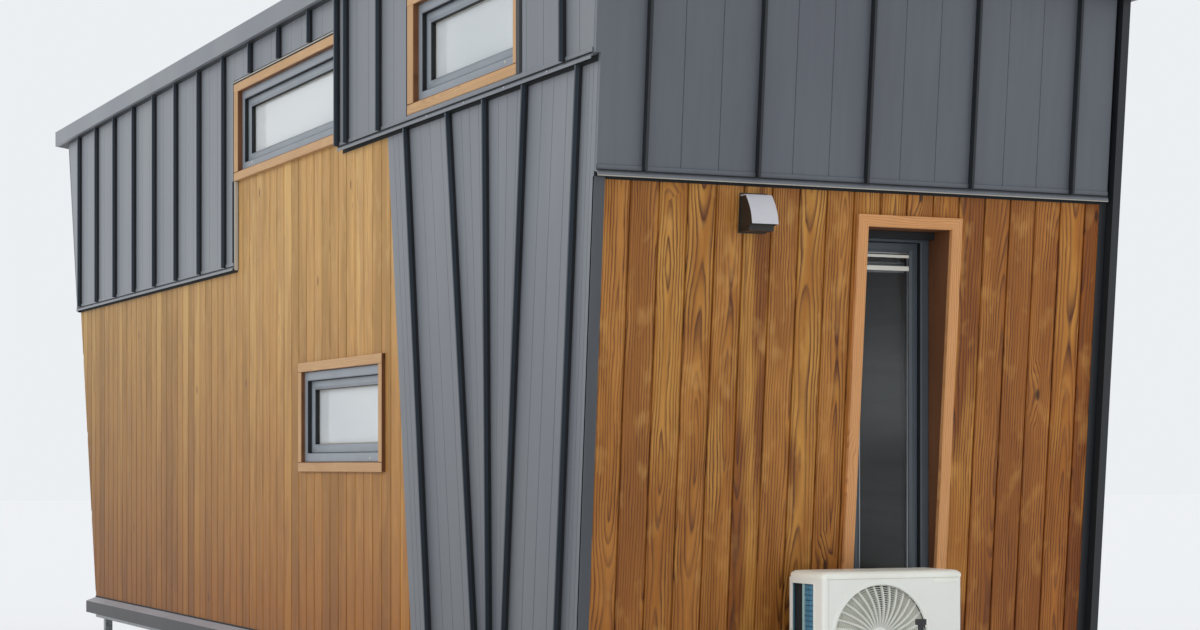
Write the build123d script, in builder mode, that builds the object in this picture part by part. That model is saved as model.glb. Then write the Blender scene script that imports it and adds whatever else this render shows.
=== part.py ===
from build123d import *
import os
from math import hypot, radians, tan

# A tiny house on a tandem trailer. Millimetres, +Z up, ground at z = 0.
# +X points along the house to its near end, where the drawbar is.
# -Y is the long side with the fan of seams, +Y the long side with the door.
# The origin is on the ground, under the middle of the overall box.

# Overall form of the house
clad_width = 2440          # between the faces of the boards on the two long sides
base_length = 8088         # along the foot of the long sides
base_z = 570               # lower edge of the cladding
near_lean = 4.84           # degrees that the near end wall leans out
rear_lean = 12.65          # degrees that the far end wall leans out
high_eave = 3994           # top of the roof edge on the -Y side
low_eave = 3604            # top of the roof edge on the +Y side

# Thicknesses of the shell, measured level
board_depth = 45           # boards and the battens behind them
metal_depth = 67           # raised sheet metal and its battens
fan_depth = 45             # sheet metal of the fan, flush with the boards
wall_thick = 130
floor_thick = 110
deck_thick = 80
sheet_thick = 25           # roof covering with its boarding
fascia_height = 106
fascia_thick = 20
eave_proud = 36            # roof edge beyond the raised sheet metal
rear_overhang = 145
near_overhang = 60

# Standing seams
seam_pitch = 522
end_seam_pitch = 510
side_seam_count = 17
seam_height = 32
seam_web = 6
seam_fold = 6              # how far the folded upper half overhangs
seam_fold_depth = 18
drip_height = 22
drip_proud = 12
drip_sheet = 4

# Zones on the long -Y side, distances back from the near foot corner
low_band_z = 2650          # lower edge of the band toward the far end
high_band_z = 3114         # lower edge of the band above the fan
step_back = 4618           # where the low band ends
high_band_back = 2786      # where the high band begins, with a seam
second_seam_back = 2645    # narrow sheet beside it
first_seam_back = 8437
corner_seam_back = 46
fan_top_back = 2144        # edge between boards and fan, at the top
fan_foot_back = 1810       # and at the foot
fan_seam_tops = [1860, 1327, 898, 464, -66]
fan_seam_feet = [1555, 1000, 855, 708, 172]

# Zones on the other sides
near_band_z = 2658
right_band_z = 2850
right_foot_back = 1620     # width of the full height metal by the near corner
end_seams_each_side = 2
fin_width = 38
fin_proud = 46

# Windows, sizes over the timber casing; back is the distance to the middle
casing_face = 49
raised_jamb = 74           # side casings of the windows in the raised metal
casing_proud_boards = 19
casing_proud_metal = 26
frame_face = 41
frame_depth = 70
sash_face = 40
sash_depth = 40
sash_set = 25
pane_thick = 20
side_recess = 3            # face of the boards to the face of the window frame
clerestory = (3703, 3423, 1824, 559)     # long window under the eave
upper_window = (1153, 3423, 1318, 559)
low_window = (2817, 1755, 1281, 578)
right_upper = (4900, 3110, 1318, 440)
right_low = (6300, 1755, 1281, 578)
tall_width = 507
tall_foot = 780
tall_drop = 121            # its head below the metal of the end wall
tall_offset = 240          # middle of the tall window from the middle of the end wall
tall_plane = 4             # plumb face of its frame, ahead of the foot of the wall

# Entrance door on the +Y side
door_back = 3300
door_width = 960
door_height = 2090
door_stile = 105
door_leaf_thick = 62
threshold = 40
handle_up = 1050           # plate's middle above the floor
handle_plate = (30, 200, 10)
lever_radius = 9
lever_rise = 40            # lever above the plate's middle
lever_reach = 45
lever_length = 130

# Blinds
blind_gap = 12
slat_thick = 2
slat_drop = 12
blind_depth = 25
blind_rail = 22
slat_pitch = 24
tape_width = 12
tape_shares = (0.2, 0.8)   # of the blind's width
tall_stack = 70

# Vent hood on the near end wall
vent_offset = -505
vent_drop = 58             # its top below the metal
vent_width = 120
vent_height = 158
vent_reach = 112           # at the open lower edge
vent_belly = (78, 79)      # a point of its bulging front: out from the wall, up from the open edge
vent_shoulder = 35         # at the top
vent_sheet = 5

# Trailer
beam_proud = 70
beam_gap = 8
beam_fall = 25
beam_face = 80
beam_sheet = 5
outer_rail = (50, 150)     # width, height
inner_rail = (60, 120)
inner_rail_y = 700
cross_section = (60, 80)
cross_pitch = 800
axle_back = 4300           # middle between the two axles
axle_gap = 760
tyre_radius = 255
tyre_width = 185
tyre_shoulder = 15
wheel_y = 1030
rim_radius = 168
rim_width = 154
hub_outset = 37            # wheel disc outward of the tyre's middle
hub_thick = 14
axle_size = 50
drawbar_reach = 1350
drawbar_section = (60, 90)
socket_radius = 25.5       # for a 50 mm ball
socket_depth = 45
jack_inset = 260
foot_size = 170
foot_thick = 10
jack_leg = 35
jack_sleeve_z = 130        # where the wider tube begins
jockey_inset = 170         # from the arms' tip
jockey_radius = 100
jockey_width = 60
jockey_tube = 24
jockey_mast = (220, 860)   # heights between which it stands
jockey_grip = (36, 22, 55) # crank handle on top: width, depth, height
jockey_stem = 8
jockey_fork = (40, 80, 130)
jockey_clamp = (60, 120, 12)

# Outdoor unit of the heat pump, on the drawbar
unit_size = (270, 652, 522)
unit_clear = 148           # from the foot of the end wall to its back
unit_offset = 4
unit_corner = 18
fan_radius = 213
fan_offset = -57
recess_depth = 90
hub_radius = 48
hub_length = 54
blade_inset = 63           # from the housing's front
blade_twist = 28
blade_turns = (90, 210, 330)
blade_thick = 4
grille_rings = 3
grille_spokes = 10
grille_bar = 4
unit_bar = 50
bar_length = 1190

# Values worked out from the driving dimensions
rear_band_z = low_band_z
tall_head = near_band_z - tall_drop
vent_top = near_band_z - vent_drop
near_slope = tan(radians(near_lean))
rear_slope = tan(radians(rear_lean))
half_width = clad_width / 2
metal_proud = metal_depth - board_depth
fan_proud = fan_depth - board_depth
rear_reach = base_length + (high_eave - base_z) * rear_slope + metal_proud + rear_overhang + fascia_thick
near_x = (rear_reach - drawbar_reach) / 2
rear_x = near_x - base_length
floor_top = base_z + floor_thick
roof_half = half_width + metal_proud + eave_proud
roof_slope = (high_eave - low_eave) / (2 * roof_half)
roof_build = deck_thick + sheet_thick
shell_half = half_width - board_depth
over_roof = high_eave + deck_thick


def near_face(z, out=0):
    """Level position of the near end wall's face at a height."""
    return near_x + (z - base_z) * near_slope + out


def rear_face(z, out=0):
    """Level position of the far end wall's face at a height."""
    return rear_x - (z - base_z) * rear_slope - out


def back(distance):
    """A place on the long sides, measured back from the near foot corner."""
    return near_x - distance


def side_plane(y):
    """Upright plane along the house, looking at the -Y side."""
    return Plane.XZ.offset(-y)


def end_plane(x):
    """Upright plane across the house."""
    return Plane.YZ.offset(x)


def roof_plane(drop):
    """Plane of the roof's slope, lowered by a plumb distance."""
    edge = (0, -roof_half, high_eave - drop)
    return Plane(origin=edge, x_dir=(1, 0, 0), z_dir=(0, roof_slope, 1))


def under_roof():
    """Cut the piece in hand at the underside of the roof deck."""
    split(bisect_by=roof_plane(roof_build), keep=Keep.BOTTOM)


def outline(plane, points, depth, mode=Mode.ADD):
    """A flat outline on a plane, given its thickness."""
    with BuildSketch(plane) as shape:
        Polygon(*points, align=None)
    extrude(shape.sketch, amount=depth, mode=mode)


def ring(plane, middle, outer, inner, depth):
    """A rectangular frame round a middle point, standing off a plane."""
    with BuildSketch(plane) as shape:
        with Locations(middle):
            Rectangle(*outer)
            Rectangle(*inner, mode=Mode.SUBTRACT)
    extrude(shape.sketch, amount=depth)


def between_leans(low, high, out):
    """Outline of a long side between its two leaning ends."""
    return [
        (rear_face(low, out), low),
        (near_face(low, out), low),
        (near_face(high, out), high),
        (rear_face(high, out), high),
    ]


def leaning_slab(face, low, high, outs):
    """Side view of a layer of an end wall between two heights."""
    return [(face(low, outs[0]), low), (face(low, outs[1]), low),
            (face(high, outs[1]), high), (face(high, outs[0]), high)]


def cross_slab(points, y_low, y_high, mode=Mode.ADD):
    """A side view given its width across the house."""
    outline(side_plane(y_low), points, y_low - y_high, mode)


def cut_window(plane_y, window):
    """Open the piece in hand for a window's casing, right through."""
    middle_back, middle_z, width, height = window
    with BuildSketch(side_plane(plane_y)) as hole:
        with Locations((back(middle_back), middle_z)):
            Rectangle(width, height)
    extrude(hole.sketch, amount=wall_thick * 3, both=True, mode=Mode.SUBTRACT)


def seam_profile(side):
    """Section of a standing seam: an upright web with its folded upper half."""
    web = seam_web / 2
    lip = side * seam_fold
    fold_z = seam_height - seam_fold_depth
    return [(-web, 0), (web, 0), (web, fold_z), (web + lip, fold_z), (web + lip, seam_height),
            (-web, seam_height)]


def upright_seam(x, y_face, low, high, facing):
    """A plumb seam on a long side that faces -Y (-1) or +Y (1)."""
    section = Plane(origin=(x, y_face, low), x_dir=(1, 0, 0), z_dir=(0, 0, facing))
    outline(section, seam_profile(1), facing * (high - low))


def slanted_seam(foot, head, y_face):
    """A seam on the -Y side from one point of the wall to another."""
    run_x = head[0] - foot[0]
    run_z = head[1] - foot[1]
    length = hypot(run_x, run_z)
    along = Vector(run_x / length, 0, run_z / length)
    across = Vector(-run_z / length, 0, run_x / length)
    section = Plane(origin=(foot[0], y_face, foot[1]), x_dir=across, z_dir=along)
    outline(section, seam_profile(1), length)


def end_seam(face, y, low, high, out):
    """A seam up the middle of a leaning end wall."""
    body = leaning_slab(face, low, high, (out, out + seam_height))
    cross_slab(body, y - seam_web / 2, y + seam_web / 2)
    lip = leaning_slab(face, low, high, (out + seam_height - seam_fold_depth, out + seam_height))
    cross_slab(lip, y + seam_web / 2, y + seam_web / 2 + seam_fold)


def drip_profile(inner):
    """Section of a drip flashing, as pairs of distance out and height: a plate under the
    raised sheet, an upstand in front of it, and a lip that kicks out and turns down."""
    out = metal_proud
    lip = out + drip_proud
    return [(inner, 0), (out, 0), (out, drip_height), (out + drip_sheet, drip_height), (out + drip_sheet, 0),
            (lip, -drip_height / 2), (lip, -drip_height), (lip - drip_sheet, -drip_height),
            (lip - drip_sheet, -drip_height / 2 - drip_sheet), (out, -drip_sheet), (inner, -drip_sheet)]


def spaced(first, last, pitch):
    """Places at an even pitch from a first one to a last one."""
    count = int((last - first) / pitch) + 1
    return [first + pitch * index for index in range(count)]


os.makedirs("parts", exist_ok=True)

# Trailer frame
rail_half = shell_half + board_depth - outer_rail[0]
rail_top = base_z
cross_top = base_z
inner_top = cross_top - cross_section[1]
rail_ends = (rear_x, near_x)

inner_end = near_x - cross_section[0]
with BuildPart() as chassis_rails:
    for side in (-1, 1):
        with BuildSketch(end_plane(rail_ends[0])):
            with Locations((side * (rail_half + outer_rail[0] / 2), rail_top - outer_rail[1] / 2)):
                Rectangle(*outer_rail)
        extrude(amount=base_length)
        with BuildSketch(end_plane(rail_ends[0])):
            with Locations((side * inner_rail_y, inner_top - inner_rail[1] / 2)):
                Rectangle(*inner_rail)
        extrude(amount=inner_end - rail_ends[0])
chassis_rails.part.label = "chassis_rails"
export_step(chassis_rails.part, "parts/chassis_rails.step")

with BuildPart() as cross_members:
    count = int((base_length / 2 - cross_section[0]) / cross_pitch)
    centre = back(axle_back)
    steps = [centre + cross_pitch * index for index in range(-2 * count, 2 * count)]
    inside = [x for x in steps if rail_ends[0] + cross_section[0] < x < rail_ends[1] - cross_section[0]]
    ends = [rail_ends[0] + cross_section[0] / 2, rail_ends[1] - cross_section[0] / 2]
    for x in ends + inside:
        with BuildSketch(side_plane(-rail_half)):
            with Locations((x, cross_top - cross_section[1] / 2)):
                Rectangle(*cross_section)
        extrude(amount=-2 * rail_half)
cross_members.part.label = "cross_members"
export_step(cross_members.part, "parts/cross_members.step")

# Edge beams: folded sheet along the foot of each long side, with a sloping top
beam_inner = half_width
beam_outer = half_width + beam_proud
beam_top = base_z - beam_gap
beam_nose = beam_top - beam_fall
beam_foot = beam_nose - beam_face
with BuildPart() as edge_beams:
    for side in (-1, 1):
        section = [
            (side * beam_inner, beam_foot), (side * beam_inner, beam_top), (side * beam_outer, beam_nose),
            (side * beam_outer, beam_foot), (side * (beam_outer - beam_fall), beam_foot),
            (side * (beam_outer - beam_fall), beam_foot + beam_sheet),
            (side * (beam_outer - beam_sheet), beam_foot + beam_sheet),
            (side * (beam_outer - beam_sheet), beam_nose - beam_sheet),
            (side * (beam_inner + beam_sheet), beam_top - 2 * beam_sheet),
            (side * (beam_inner + beam_sheet), beam_foot),
        ]
        outline(end_plane(rail_ends[0]), section, base_length)
edge_beams.part.label = "edge_beams"
export_step(edge_beams.part, "parts/edge_beams.step")

# Running gear
axle_places = [back(axle_back) + side * axle_gap / 2 for side in (-1, 1)]
wheel_face = wheel_y + hub_outset

with BuildPart() as axles:
    for x in axle_places:
        with BuildSketch(side_plane(-wheel_face)):
            with Locations((x, tyre_radius)):
                Circle(axle_size / 2)
        extrude(amount=-2 * wheel_face)
        for side in (-1, 1):
            with BuildSketch(end_plane(x)):
                with Locations((side * inner_rail_y, (tyre_radius + inner_top - inner_rail[1]) / 2)):
                    Rectangle(inner_rail[0], inner_top - inner_rail[1] - tyre_radius)
            extrude(amount=axle_size, both=True)
axles.part.label = "axles"
export_step(axles.part, "parts/axles.step")

with BuildPart() as tyres:
    with BuildSketch(Plane.YZ) as tyre_section:
        with Locations((wheel_y, (rim_radius + tyre_radius) / 2)):
            Rectangle(tyre_width, tyre_radius - rim_radius)
        chamfer(tyre_section.vertices().group_by(Axis.Y)[-1], tyre_shoulder)
    revolve(axis=Axis.Y)
    single_tyre = tyres.part
wheel_spots = [Location((x, 0, tyre_radius), (0, 0, turn)) for x in axle_places for turn in (0, 180)]
with BuildPart() as all_tyres:
    for spot in wheel_spots:
        add(spot * single_tyre)
all_tyres.part.label = "tyres"
export_step(all_tyres.part, "parts/tyres.step")

with BuildPart() as rim:
    with BuildSketch(Plane.YZ):
        with Locations((wheel_y, rim_radius - hub_thick / 2)):
            Rectangle(rim_width, hub_thick)
        with Locations((wheel_face + hub_thick / 2, rim_radius / 2)):
            Rectangle(hub_thick, rim_radius)
    revolve(axis=Axis.Y)
    single_rim = rim.part
with BuildPart() as wheel_rims:
    for spot in wheel_spots:
        add(spot * single_rim)
wheel_rims.part.label = "wheel_rims"
export_step(wheel_rims.part, "parts/wheel_rims.step")

# Corner jacks: square tubes with a foot plate, wound down under the outer rails
jack_tube = outer_rail[0]
with BuildPart() as corner_jacks:
    for x in (rail_ends[0] + jack_inset, rail_ends[1] - jack_inset):
        for side in (-1, 1):
            with BuildSketch(Plane.XY):
                with Locations((x, side * (rail_half + jack_tube / 2))):
                    Rectangle(foot_size, foot_size)
            extrude(amount=foot_thick)
            with BuildSketch(Plane.XY.offset(foot_thick)):
                with Locations((x, side * (rail_half + jack_tube / 2))):
                    Rectangle(jack_leg, jack_leg)
            extrude(amount=rail_top - outer_rail[1] - foot_thick)
            with BuildSketch(Plane.XY.offset(jack_sleeve_z)):
                with Locations((x, side * (rail_half + jack_tube / 2))):
                    Rectangle(jack_tube, jack_tube)
            extrude(amount=rail_top - outer_rail[1] - jack_sleeve_z)
corner_jacks.part.label = "corner_jacks"
export_step(corner_jacks.part, "parts/corner_jacks.step")

# Drawbar: two arms from the inner rails to the coupling
tip_x = near_x + drawbar_reach
head_length = 230
arm_tip = tip_x - head_length
arm_width, arm_height = drawbar_section
with BuildPart() as drawbar_arms:
    for side in (-1, 1):
        arm = [
            (inner_end, side * (inner_rail_y - arm_width / 2)), (arm_tip, 0),
            (arm_tip, side * arm_width), (inner_end, side * (inner_rail_y + arm_width / 2)),
        ]
        outline(Plane.XY.offset(inner_top - arm_height), arm, arm_height)
drawbar_arms.part.label = "drawbar_arms"
export_step(drawbar_arms.part, "parts/drawbar_arms.step")

with BuildPart() as coupling:
    shank_z = inner_top - arm_height / 2
    with BuildSketch(end_plane(arm_tip)):
        with Locations((0, shank_z)):
            Circle(arm_width / 2)
    extrude(amount=head_length - arm_width)
    with BuildSketch(Plane.XY.offset(shank_z - arm_height / 2)):
        with Locations((tip_x - arm_width, 0)):
            Circle(arm_width)
    extrude(amount=arm_height)
    with BuildSketch(Plane.XY.offset(shank_z - arm_height / 2)):
        with Locations((tip_x - arm_width, 0)):
            Circle(socket_radius)
    extrude(amount=socket_depth, mode=Mode.SUBTRACT)
coupling.part.label = "coupling"
export_step(coupling.part, "parts/coupling.step")

jockey_x = arm_tip - jockey_inset
fork_length, fork_width, fork_height = jockey_fork
clamp_length, clamp_width, clamp_thick = jockey_clamp
with BuildPart() as jockey:
    arm_edge = arm_width + (arm_tip - jockey_x) * (inner_rail_y - arm_width / 2) / (arm_tip - inner_end)
    jockey_y = -arm_edge - arm_width
    with BuildSketch(Plane.XY.offset(jockey_mast[0])):
        with Locations((jockey_x, jockey_y)):
            Circle(jockey_tube)
    extrude(amount=jockey_mast[1] - jockey_mast[0])
    with BuildSketch(side_plane(jockey_y - jockey_width / 2)):
        with Locations((jockey_x, jockey_radius)):
            Circle(jockey_radius)
    extrude(amount=-jockey_width)
    with BuildSketch(Plane.XY.offset(jockey_radius)):
        with Locations((jockey_x, jockey_y)):
            Rectangle(fork_length, fork_width)
    extrude(amount=fork_height)
    with BuildSketch(Plane.XY.offset(inner_top)):
        with Locations((jockey_x, jockey_y + arm_width / 2)):
            Rectangle(clamp_length, clamp_width)
    extrude(amount=clamp_thick)
jockey.part.label = "jockey_wheel"
export_step(jockey.part, "parts/jockey_wheel.step")

grip_width, grip_depth, grip_height = jockey_grip
with BuildPart() as jockey_handle:
    with BuildSketch(Plane.XY.offset(jockey_mast[1])):
        with Locations((jockey_x, jockey_y)):
            Rectangle(2 * jockey_stem, 2 * jockey_stem)
    extrude(amount=grip_height - grip_depth)
    with BuildSketch(side_plane(jockey_y - grip_width / 2)):
        with Locations((jockey_x, jockey_mast[1] + grip_height - grip_depth / 2)):
            Rectangle(grip_depth, grip_depth)
    extrude(amount=-grip_width)
jockey_handle.part.label = "jockey_handle"
export_step(jockey_handle.part, "parts/jockey_handle.step")

# Floor and structural walls
with BuildPart() as floor_deck:
    cross_slab(between_leans(base_z, floor_top, -board_depth), -shell_half, shell_half)
floor_deck.part.label = "floor_deck"
export_step(floor_deck.part, "parts/floor_deck.step")

left_windows = (clerestory, upper_window, low_window)
right_windows = (right_upper, right_low)
door_foot = floor_top
door_head = floor_top + door_height
door_window = (door_back, (door_foot + door_head) / 2, door_width, door_height)

with BuildPart() as wall_left:
    cross_slab(between_leans(floor_top, over_roof, -board_depth), -shell_half, wall_thick - shell_half)
    under_roof()
    for window in left_windows:
        cut_window(-shell_half, window)
wall_left.part.label = "wall_left"
export_step(wall_left.part, "parts/wall_left.step")

with BuildPart() as wall_right:
    cross_slab(between_leans(floor_top, over_roof, -board_depth), shell_half - wall_thick, shell_half)
    under_roof()
    for window in right_windows + (door_window,):
        cut_window(shell_half, window)
wall_right.part.label = "wall_right"
export_step(wall_right.part, "parts/wall_right.step")

inner_half = shell_half - wall_thick
tall_middle_z = (tall_foot + tall_head) / 2
tall_height = tall_head - tall_foot


def cut_tall_window():
    """Open the piece in hand for the tall window's casing."""
    with BuildSketch(end_plane(near_x)) as hole:
        with Locations((tall_offset, tall_middle_z)):
            Rectangle(tall_width, tall_height)
    extrude(hole.sketch, amount=wall_thick * 4, both=True, mode=Mode.SUBTRACT)


structure = (-board_depth - wall_thick, -board_depth)
with BuildPart() as wall_near:
    cross_slab(leaning_slab(near_face, floor_top, over_roof, structure), -inner_half, inner_half)
    under_roof()
    cut_tall_window()
wall_near.part.label = "wall_near"
export_step(wall_near.part, "parts/wall_near.step")

with BuildPart() as wall_rear:
    cross_slab(leaning_slab(rear_face, floor_top, over_roof, structure), -inner_half, inner_half)
    under_roof()
wall_rear.part.label = "wall_rear"
export_step(wall_rear.part, "parts/wall_rear.step")

# Roof: deck, seamed covering and edge flashings
roof_rear = rear_x - (high_eave - base_z) * rear_slope - metal_proud - rear_overhang
roof_near = near_face(high_eave, metal_proud + near_overhang)
roof_length = roof_near - roof_rear


def roof_section(top, bottom, low_y, high_y):
    """Section of a roof layer between two plumb depths below the roof's surface."""
    def height(y):
        return high_eave - (y + roof_half) * roof_slope
    return [(low_y, height(low_y) - bottom), (high_y, height(high_y) - bottom),
            (high_y, height(high_y) - top), (low_y, height(low_y) - top)]


with BuildPart() as roof_deck:
    outline(end_plane(roof_rear), roof_section(sheet_thick, roof_build, -roof_half, roof_half), roof_length)
roof_deck.part.label = "roof_deck"
export_step(roof_deck.part, "parts/roof_deck.step")

with BuildPart() as roof_sheet:
    outline(end_plane(roof_rear), roof_section(0, sheet_thick, -roof_half, roof_half), roof_length)
    for x in spaced(roof_rear + seam_pitch / 2, roof_near - seam_pitch / 4, seam_pitch):
        rib = roof_section(-seam_height, 0, -roof_half + seam_height * 2, roof_half)
        outline(end_plane(x), rib, seam_web)
        lip = roof_section(-seam_height, seam_fold_depth - seam_height, -roof_half + seam_height * 2, roof_half)
        outline(end_plane(x + seam_web), lip, seam_fold)
roof_sheet.part.label = "roof_sheet"
export_step(roof_sheet.part, "parts/roof_sheet.step")

fascia_half = roof_half + fascia_thick
with BuildPart() as roof_fascias:
    for low_y, high_y in ((-fascia_half, -roof_half), (roof_half, fascia_half)):
        edge = roof_section(0, fascia_height, low_y, high_y)
        outline(end_plane(roof_rear - fascia_thick), edge, roof_length + 2 * fascia_thick)
    for x in (roof_rear - fascia_thick, roof_near):
        outline(end_plane(x), roof_section(0, fascia_height, -roof_half, roof_half), fascia_thick)
roof_fascias.part.label = "roof_fascias"
export_step(roof_fascias.part, "parts/roof_fascias.step")

# Boards on the -Y side: an outline that steps up under the long window
fan_line_run = (fan_top_back - fan_foot_back) / (high_band_z - base_z)


def fan_edge(z):
    """Place of the edge between boards and fan at a height."""
    return back(fan_foot_back + (z - base_z) * fan_line_run)


board_step_z = clerestory[1]
with BuildPart() as boards_left:
    area = [
        (rear_face(base_z), base_z), (fan_edge(base_z), base_z), (fan_edge(high_band_z), high_band_z),
        (back(high_band_back), high_band_z), (back(high_band_back), board_step_z),
        (back(step_back), board_step_z), (back(step_back), low_band_z), (rear_face(low_band_z), low_band_z),
    ]
    cross_slab(area, -half_width, -shell_half)
    for window in left_windows:
        cut_window(-half_width, window)
boards_left.part.label = "boards_left"
export_step(boards_left.part, "parts/boards_left.step")

with BuildPart() as boards_right:
    area = [
        (rear_face(base_z), base_z), (back(right_foot_back), base_z), (back(right_foot_back), right_band_z),
        (rear_face(right_band_z), right_band_z),
    ]
    cross_slab(area, shell_half, half_width)
    for window in right_windows + (door_window,):
        cut_window(half_width, window)
boards_right.part.label = "boards_right"
export_step(boards_right.part, "parts/boards_right.step")

boards = (-board_depth, 0)
with BuildPart() as boards_near:
    cross_slab(leaning_slab(near_face, base_z, near_band_z, boards), -shell_half, shell_half)
    cut_tall_window()
boards_near.part.label = "boards_near"
export_step(boards_near.part, "parts/boards_near.step")

with BuildPart() as boards_rear:
    cross_slab(leaning_slab(rear_face, base_z, rear_band_z, boards), -shell_half, shell_half)
boards_rear.part.label = "boards_rear"
export_step(boards_rear.part, "parts/boards_rear.step")

# Standing seam metal on the -Y side
metal_half = half_width + metal_proud
fan_half = half_width + fan_proud
left_seams = [back(first_seam_back) + seam_pitch * index for index in range(side_seam_count)]
left_seam_top = high_eave - roof_build - eave_proud * roof_slope
right_seam_top = low_eave - fascia_height - fascia_thick * roof_slope


def within_leans(out):
    """Keep only what lies between the leaning faces of the two ends."""
    with BuildSketch(side_plane(0)) as limits:
        Polygon(*between_leans(0, over_roof, out), align=None)
    extrude(limits.sketch, amount=2 * half_width, both=True, mode=Mode.INTERSECT)


with BuildPart() as metal_low_band:
    area = [
        (rear_face(low_band_z), low_band_z), (back(step_back), low_band_z), (back(step_back), board_step_z),
        (back(high_band_back), board_step_z), (back(high_band_back), over_roof),
        (rear_face(over_roof), over_roof),
    ]
    cross_slab(area, -metal_half, -shell_half)
    under_roof()
    for x in left_seams:
        if x < back(high_band_back) - seam_fold:
            foot = low_band_z + drip_height if x < back(step_back) else board_step_z
            upright_seam(x, -metal_half, foot, left_seam_top, -1)
    cut_window(-metal_half, clerestory)
    within_leans(0)
metal_low_band.part.label = "metal_low_band"
export_step(metal_low_band.part, "parts/metal_low_band.step")

with BuildPart() as metal_high_band:
    area = [
        (back(high_band_back), high_band_z), (near_face(high_band_z), high_band_z),
        (near_face(over_roof), over_roof), (back(high_band_back), over_roof),
    ]
    cross_slab(area, -metal_half, -shell_half)
    under_roof()
    window_edges = [back(upper_window[0]) + side * upper_window[2] / 2 for side in (-1, 1)]
    whole = [back(high_band_back) + seam_web / 2, back(second_seam_back), back(corner_seam_back)]
    between = [x for x in left_seams if back(second_seam_back) + seam_pitch / 2 < x < whole[-1] - seam_pitch / 2]
    for x in whole + between:
        beside = x + seam_fold < window_edges[0] or x > window_edges[1]
        foot = high_band_z + drip_height if beside else upper_window[1]
        upright_seam(x, -metal_half, foot, left_seam_top, -1)
    cut_window(-metal_half, upper_window)
metal_high_band.part.label = "metal_high_band"
export_step(metal_high_band.part, "parts/metal_high_band.step")

with BuildPart() as metal_fan:
    area = [
        (fan_edge(base_z), base_z), (near_face(base_z), base_z),
        (near_face(high_band_z), high_band_z), (fan_edge(high_band_z), high_band_z),
    ]
    cross_slab(area, -fan_half, -shell_half)
    fan_head_z = high_band_z - drip_height - drip_sheet
    share = (fan_head_z - base_z) / (high_band_z - base_z)
    for top, foot in zip(fan_seam_tops, fan_seam_feet):
        head = foot + (top - foot) * share
        slanted_seam((back(foot), base_z), (back(head), fan_head_z), -fan_half)
metal_fan.part.label = "metal_fan"
export_step(metal_fan.part, "parts/metal_fan.step")

# Standing seam metal on the ends and on the +Y side
end_seams = [end_seam_pitch * index for index in range(-end_seams_each_side, end_seams_each_side + 1)]
raised = (0, metal_proud)

with BuildPart() as metal_near:
    cross_slab(leaning_slab(near_face, near_band_z, over_roof, boards), -shell_half, shell_half)
    cross_slab(leaning_slab(near_face, near_band_z, over_roof, raised), -metal_half, half_width)
    lower_edge = leaning_slab(near_face, near_band_z - drip_height, high_band_z, (0, 2 * metal_proud))
    cross_slab(lower_edge, -metal_half - metal_proud, -fan_half, Mode.SUBTRACT)
    under_roof()
    for y in end_seams:
        seam_top = high_eave - fascia_height - (y + roof_half) * roof_slope
        end_seam(near_face, y, near_band_z + drip_height, seam_top - seam_height, metal_proud)
metal_near.part.label = "metal_near"
export_step(metal_near.part, "parts/metal_near.step")

with BuildPart() as metal_rear:
    cross_slab(leaning_slab(rear_face, rear_band_z, over_roof, boards), -shell_half, shell_half)
    cross_slab(leaning_slab(rear_face, rear_band_z, over_roof, raised), -metal_half, metal_half)
    under_roof()
    for y in end_seams:
        seam_top = high_eave - fascia_height - (y + roof_half) * roof_slope
        end_seam(rear_face, y, rear_band_z + drip_height, seam_top - seam_height, metal_proud)
metal_rear.part.label = "metal_rear"
export_step(metal_rear.part, "parts/metal_rear.step")

with BuildPart() as metal_right:
    area = [
        (rear_face(right_band_z), right_band_z), (back(right_foot_back), right_band_z),
        (back(right_foot_back), base_z), (near_face(base_z, -board_depth), base_z),
        (near_face(over_roof, -board_depth), over_roof), (rear_face(over_roof), over_roof),
    ]
    cross_slab(area, shell_half, metal_half)
    under_roof()
    window_edges = [back(right_upper[0]) + side * right_upper[2] / 2 for side in (-1, 1)]
    for x in left_seams:
        if x < back(right_foot_back):
            foot = right_band_z + drip_height
        else:
            foot = base_z
        if window_edges[0] - seam_fold < x < window_edges[1] + seam_fold:
            foot = right_upper[1]
        upright_seam(x, metal_half, foot, right_seam_top, 1)
    cut_window(metal_half, right_upper)
    within_leans(-board_depth)
metal_right.part.label = "metal_right"
export_step(metal_right.part, "parts/metal_right.step")

fin_face = metal_half + seam_height
with BuildPart() as near_corner_fin:
    cross_slab(leaning_slab(near_face, base_z, over_roof, boards), shell_half, fin_face)
    cross_slab(leaning_slab(near_face, base_z, over_roof, (0, fin_proud)), fin_face - fin_width, fin_face)
    under_roof()
near_corner_fin.part.label = "near_corner_fin"
export_step(near_corner_fin.part, "parts/near_corner_fin.step")

# Drip flashings under the raised bands
with BuildPart() as drip_flashings:
    runs = [
        (-1, low_band_z, rear_face(low_band_z - drip_height), back(step_back), 0),
        (-1, high_band_z, back(high_band_back), near_face(high_band_z - drip_height), fan_proud),
        (1, right_band_z, rear_face(right_band_z - drip_height), back(right_foot_back), 0),
    ]
    for side, z, start, end, inner in runs:
        section = [(side * (half_width + out), z + rise) for out, rise in drip_profile(inner)]
        outline(end_plane(start), section, end - start)
    near_drip = [(near_face(near_band_z + rise, out), near_band_z + rise) for out, rise in drip_profile(0)]
    cross_slab(near_drip, -fan_half, half_width)
    rear_drip = [(rear_face(rear_band_z + rise, out), rear_band_z + rise) for out, rise in drip_profile(0)]
    cross_slab(rear_drip, -metal_half, metal_half)
drip_flashings.part.label = "drip_flashings"
export_step(drip_flashings.part, "parts/drip_flashings.step")


def shrink(size, edge):
    """Inner size of a frame from its outer size and the width of its members."""
    return (size[0] - 2 * edge, size[1] - 2 * edge)


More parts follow.
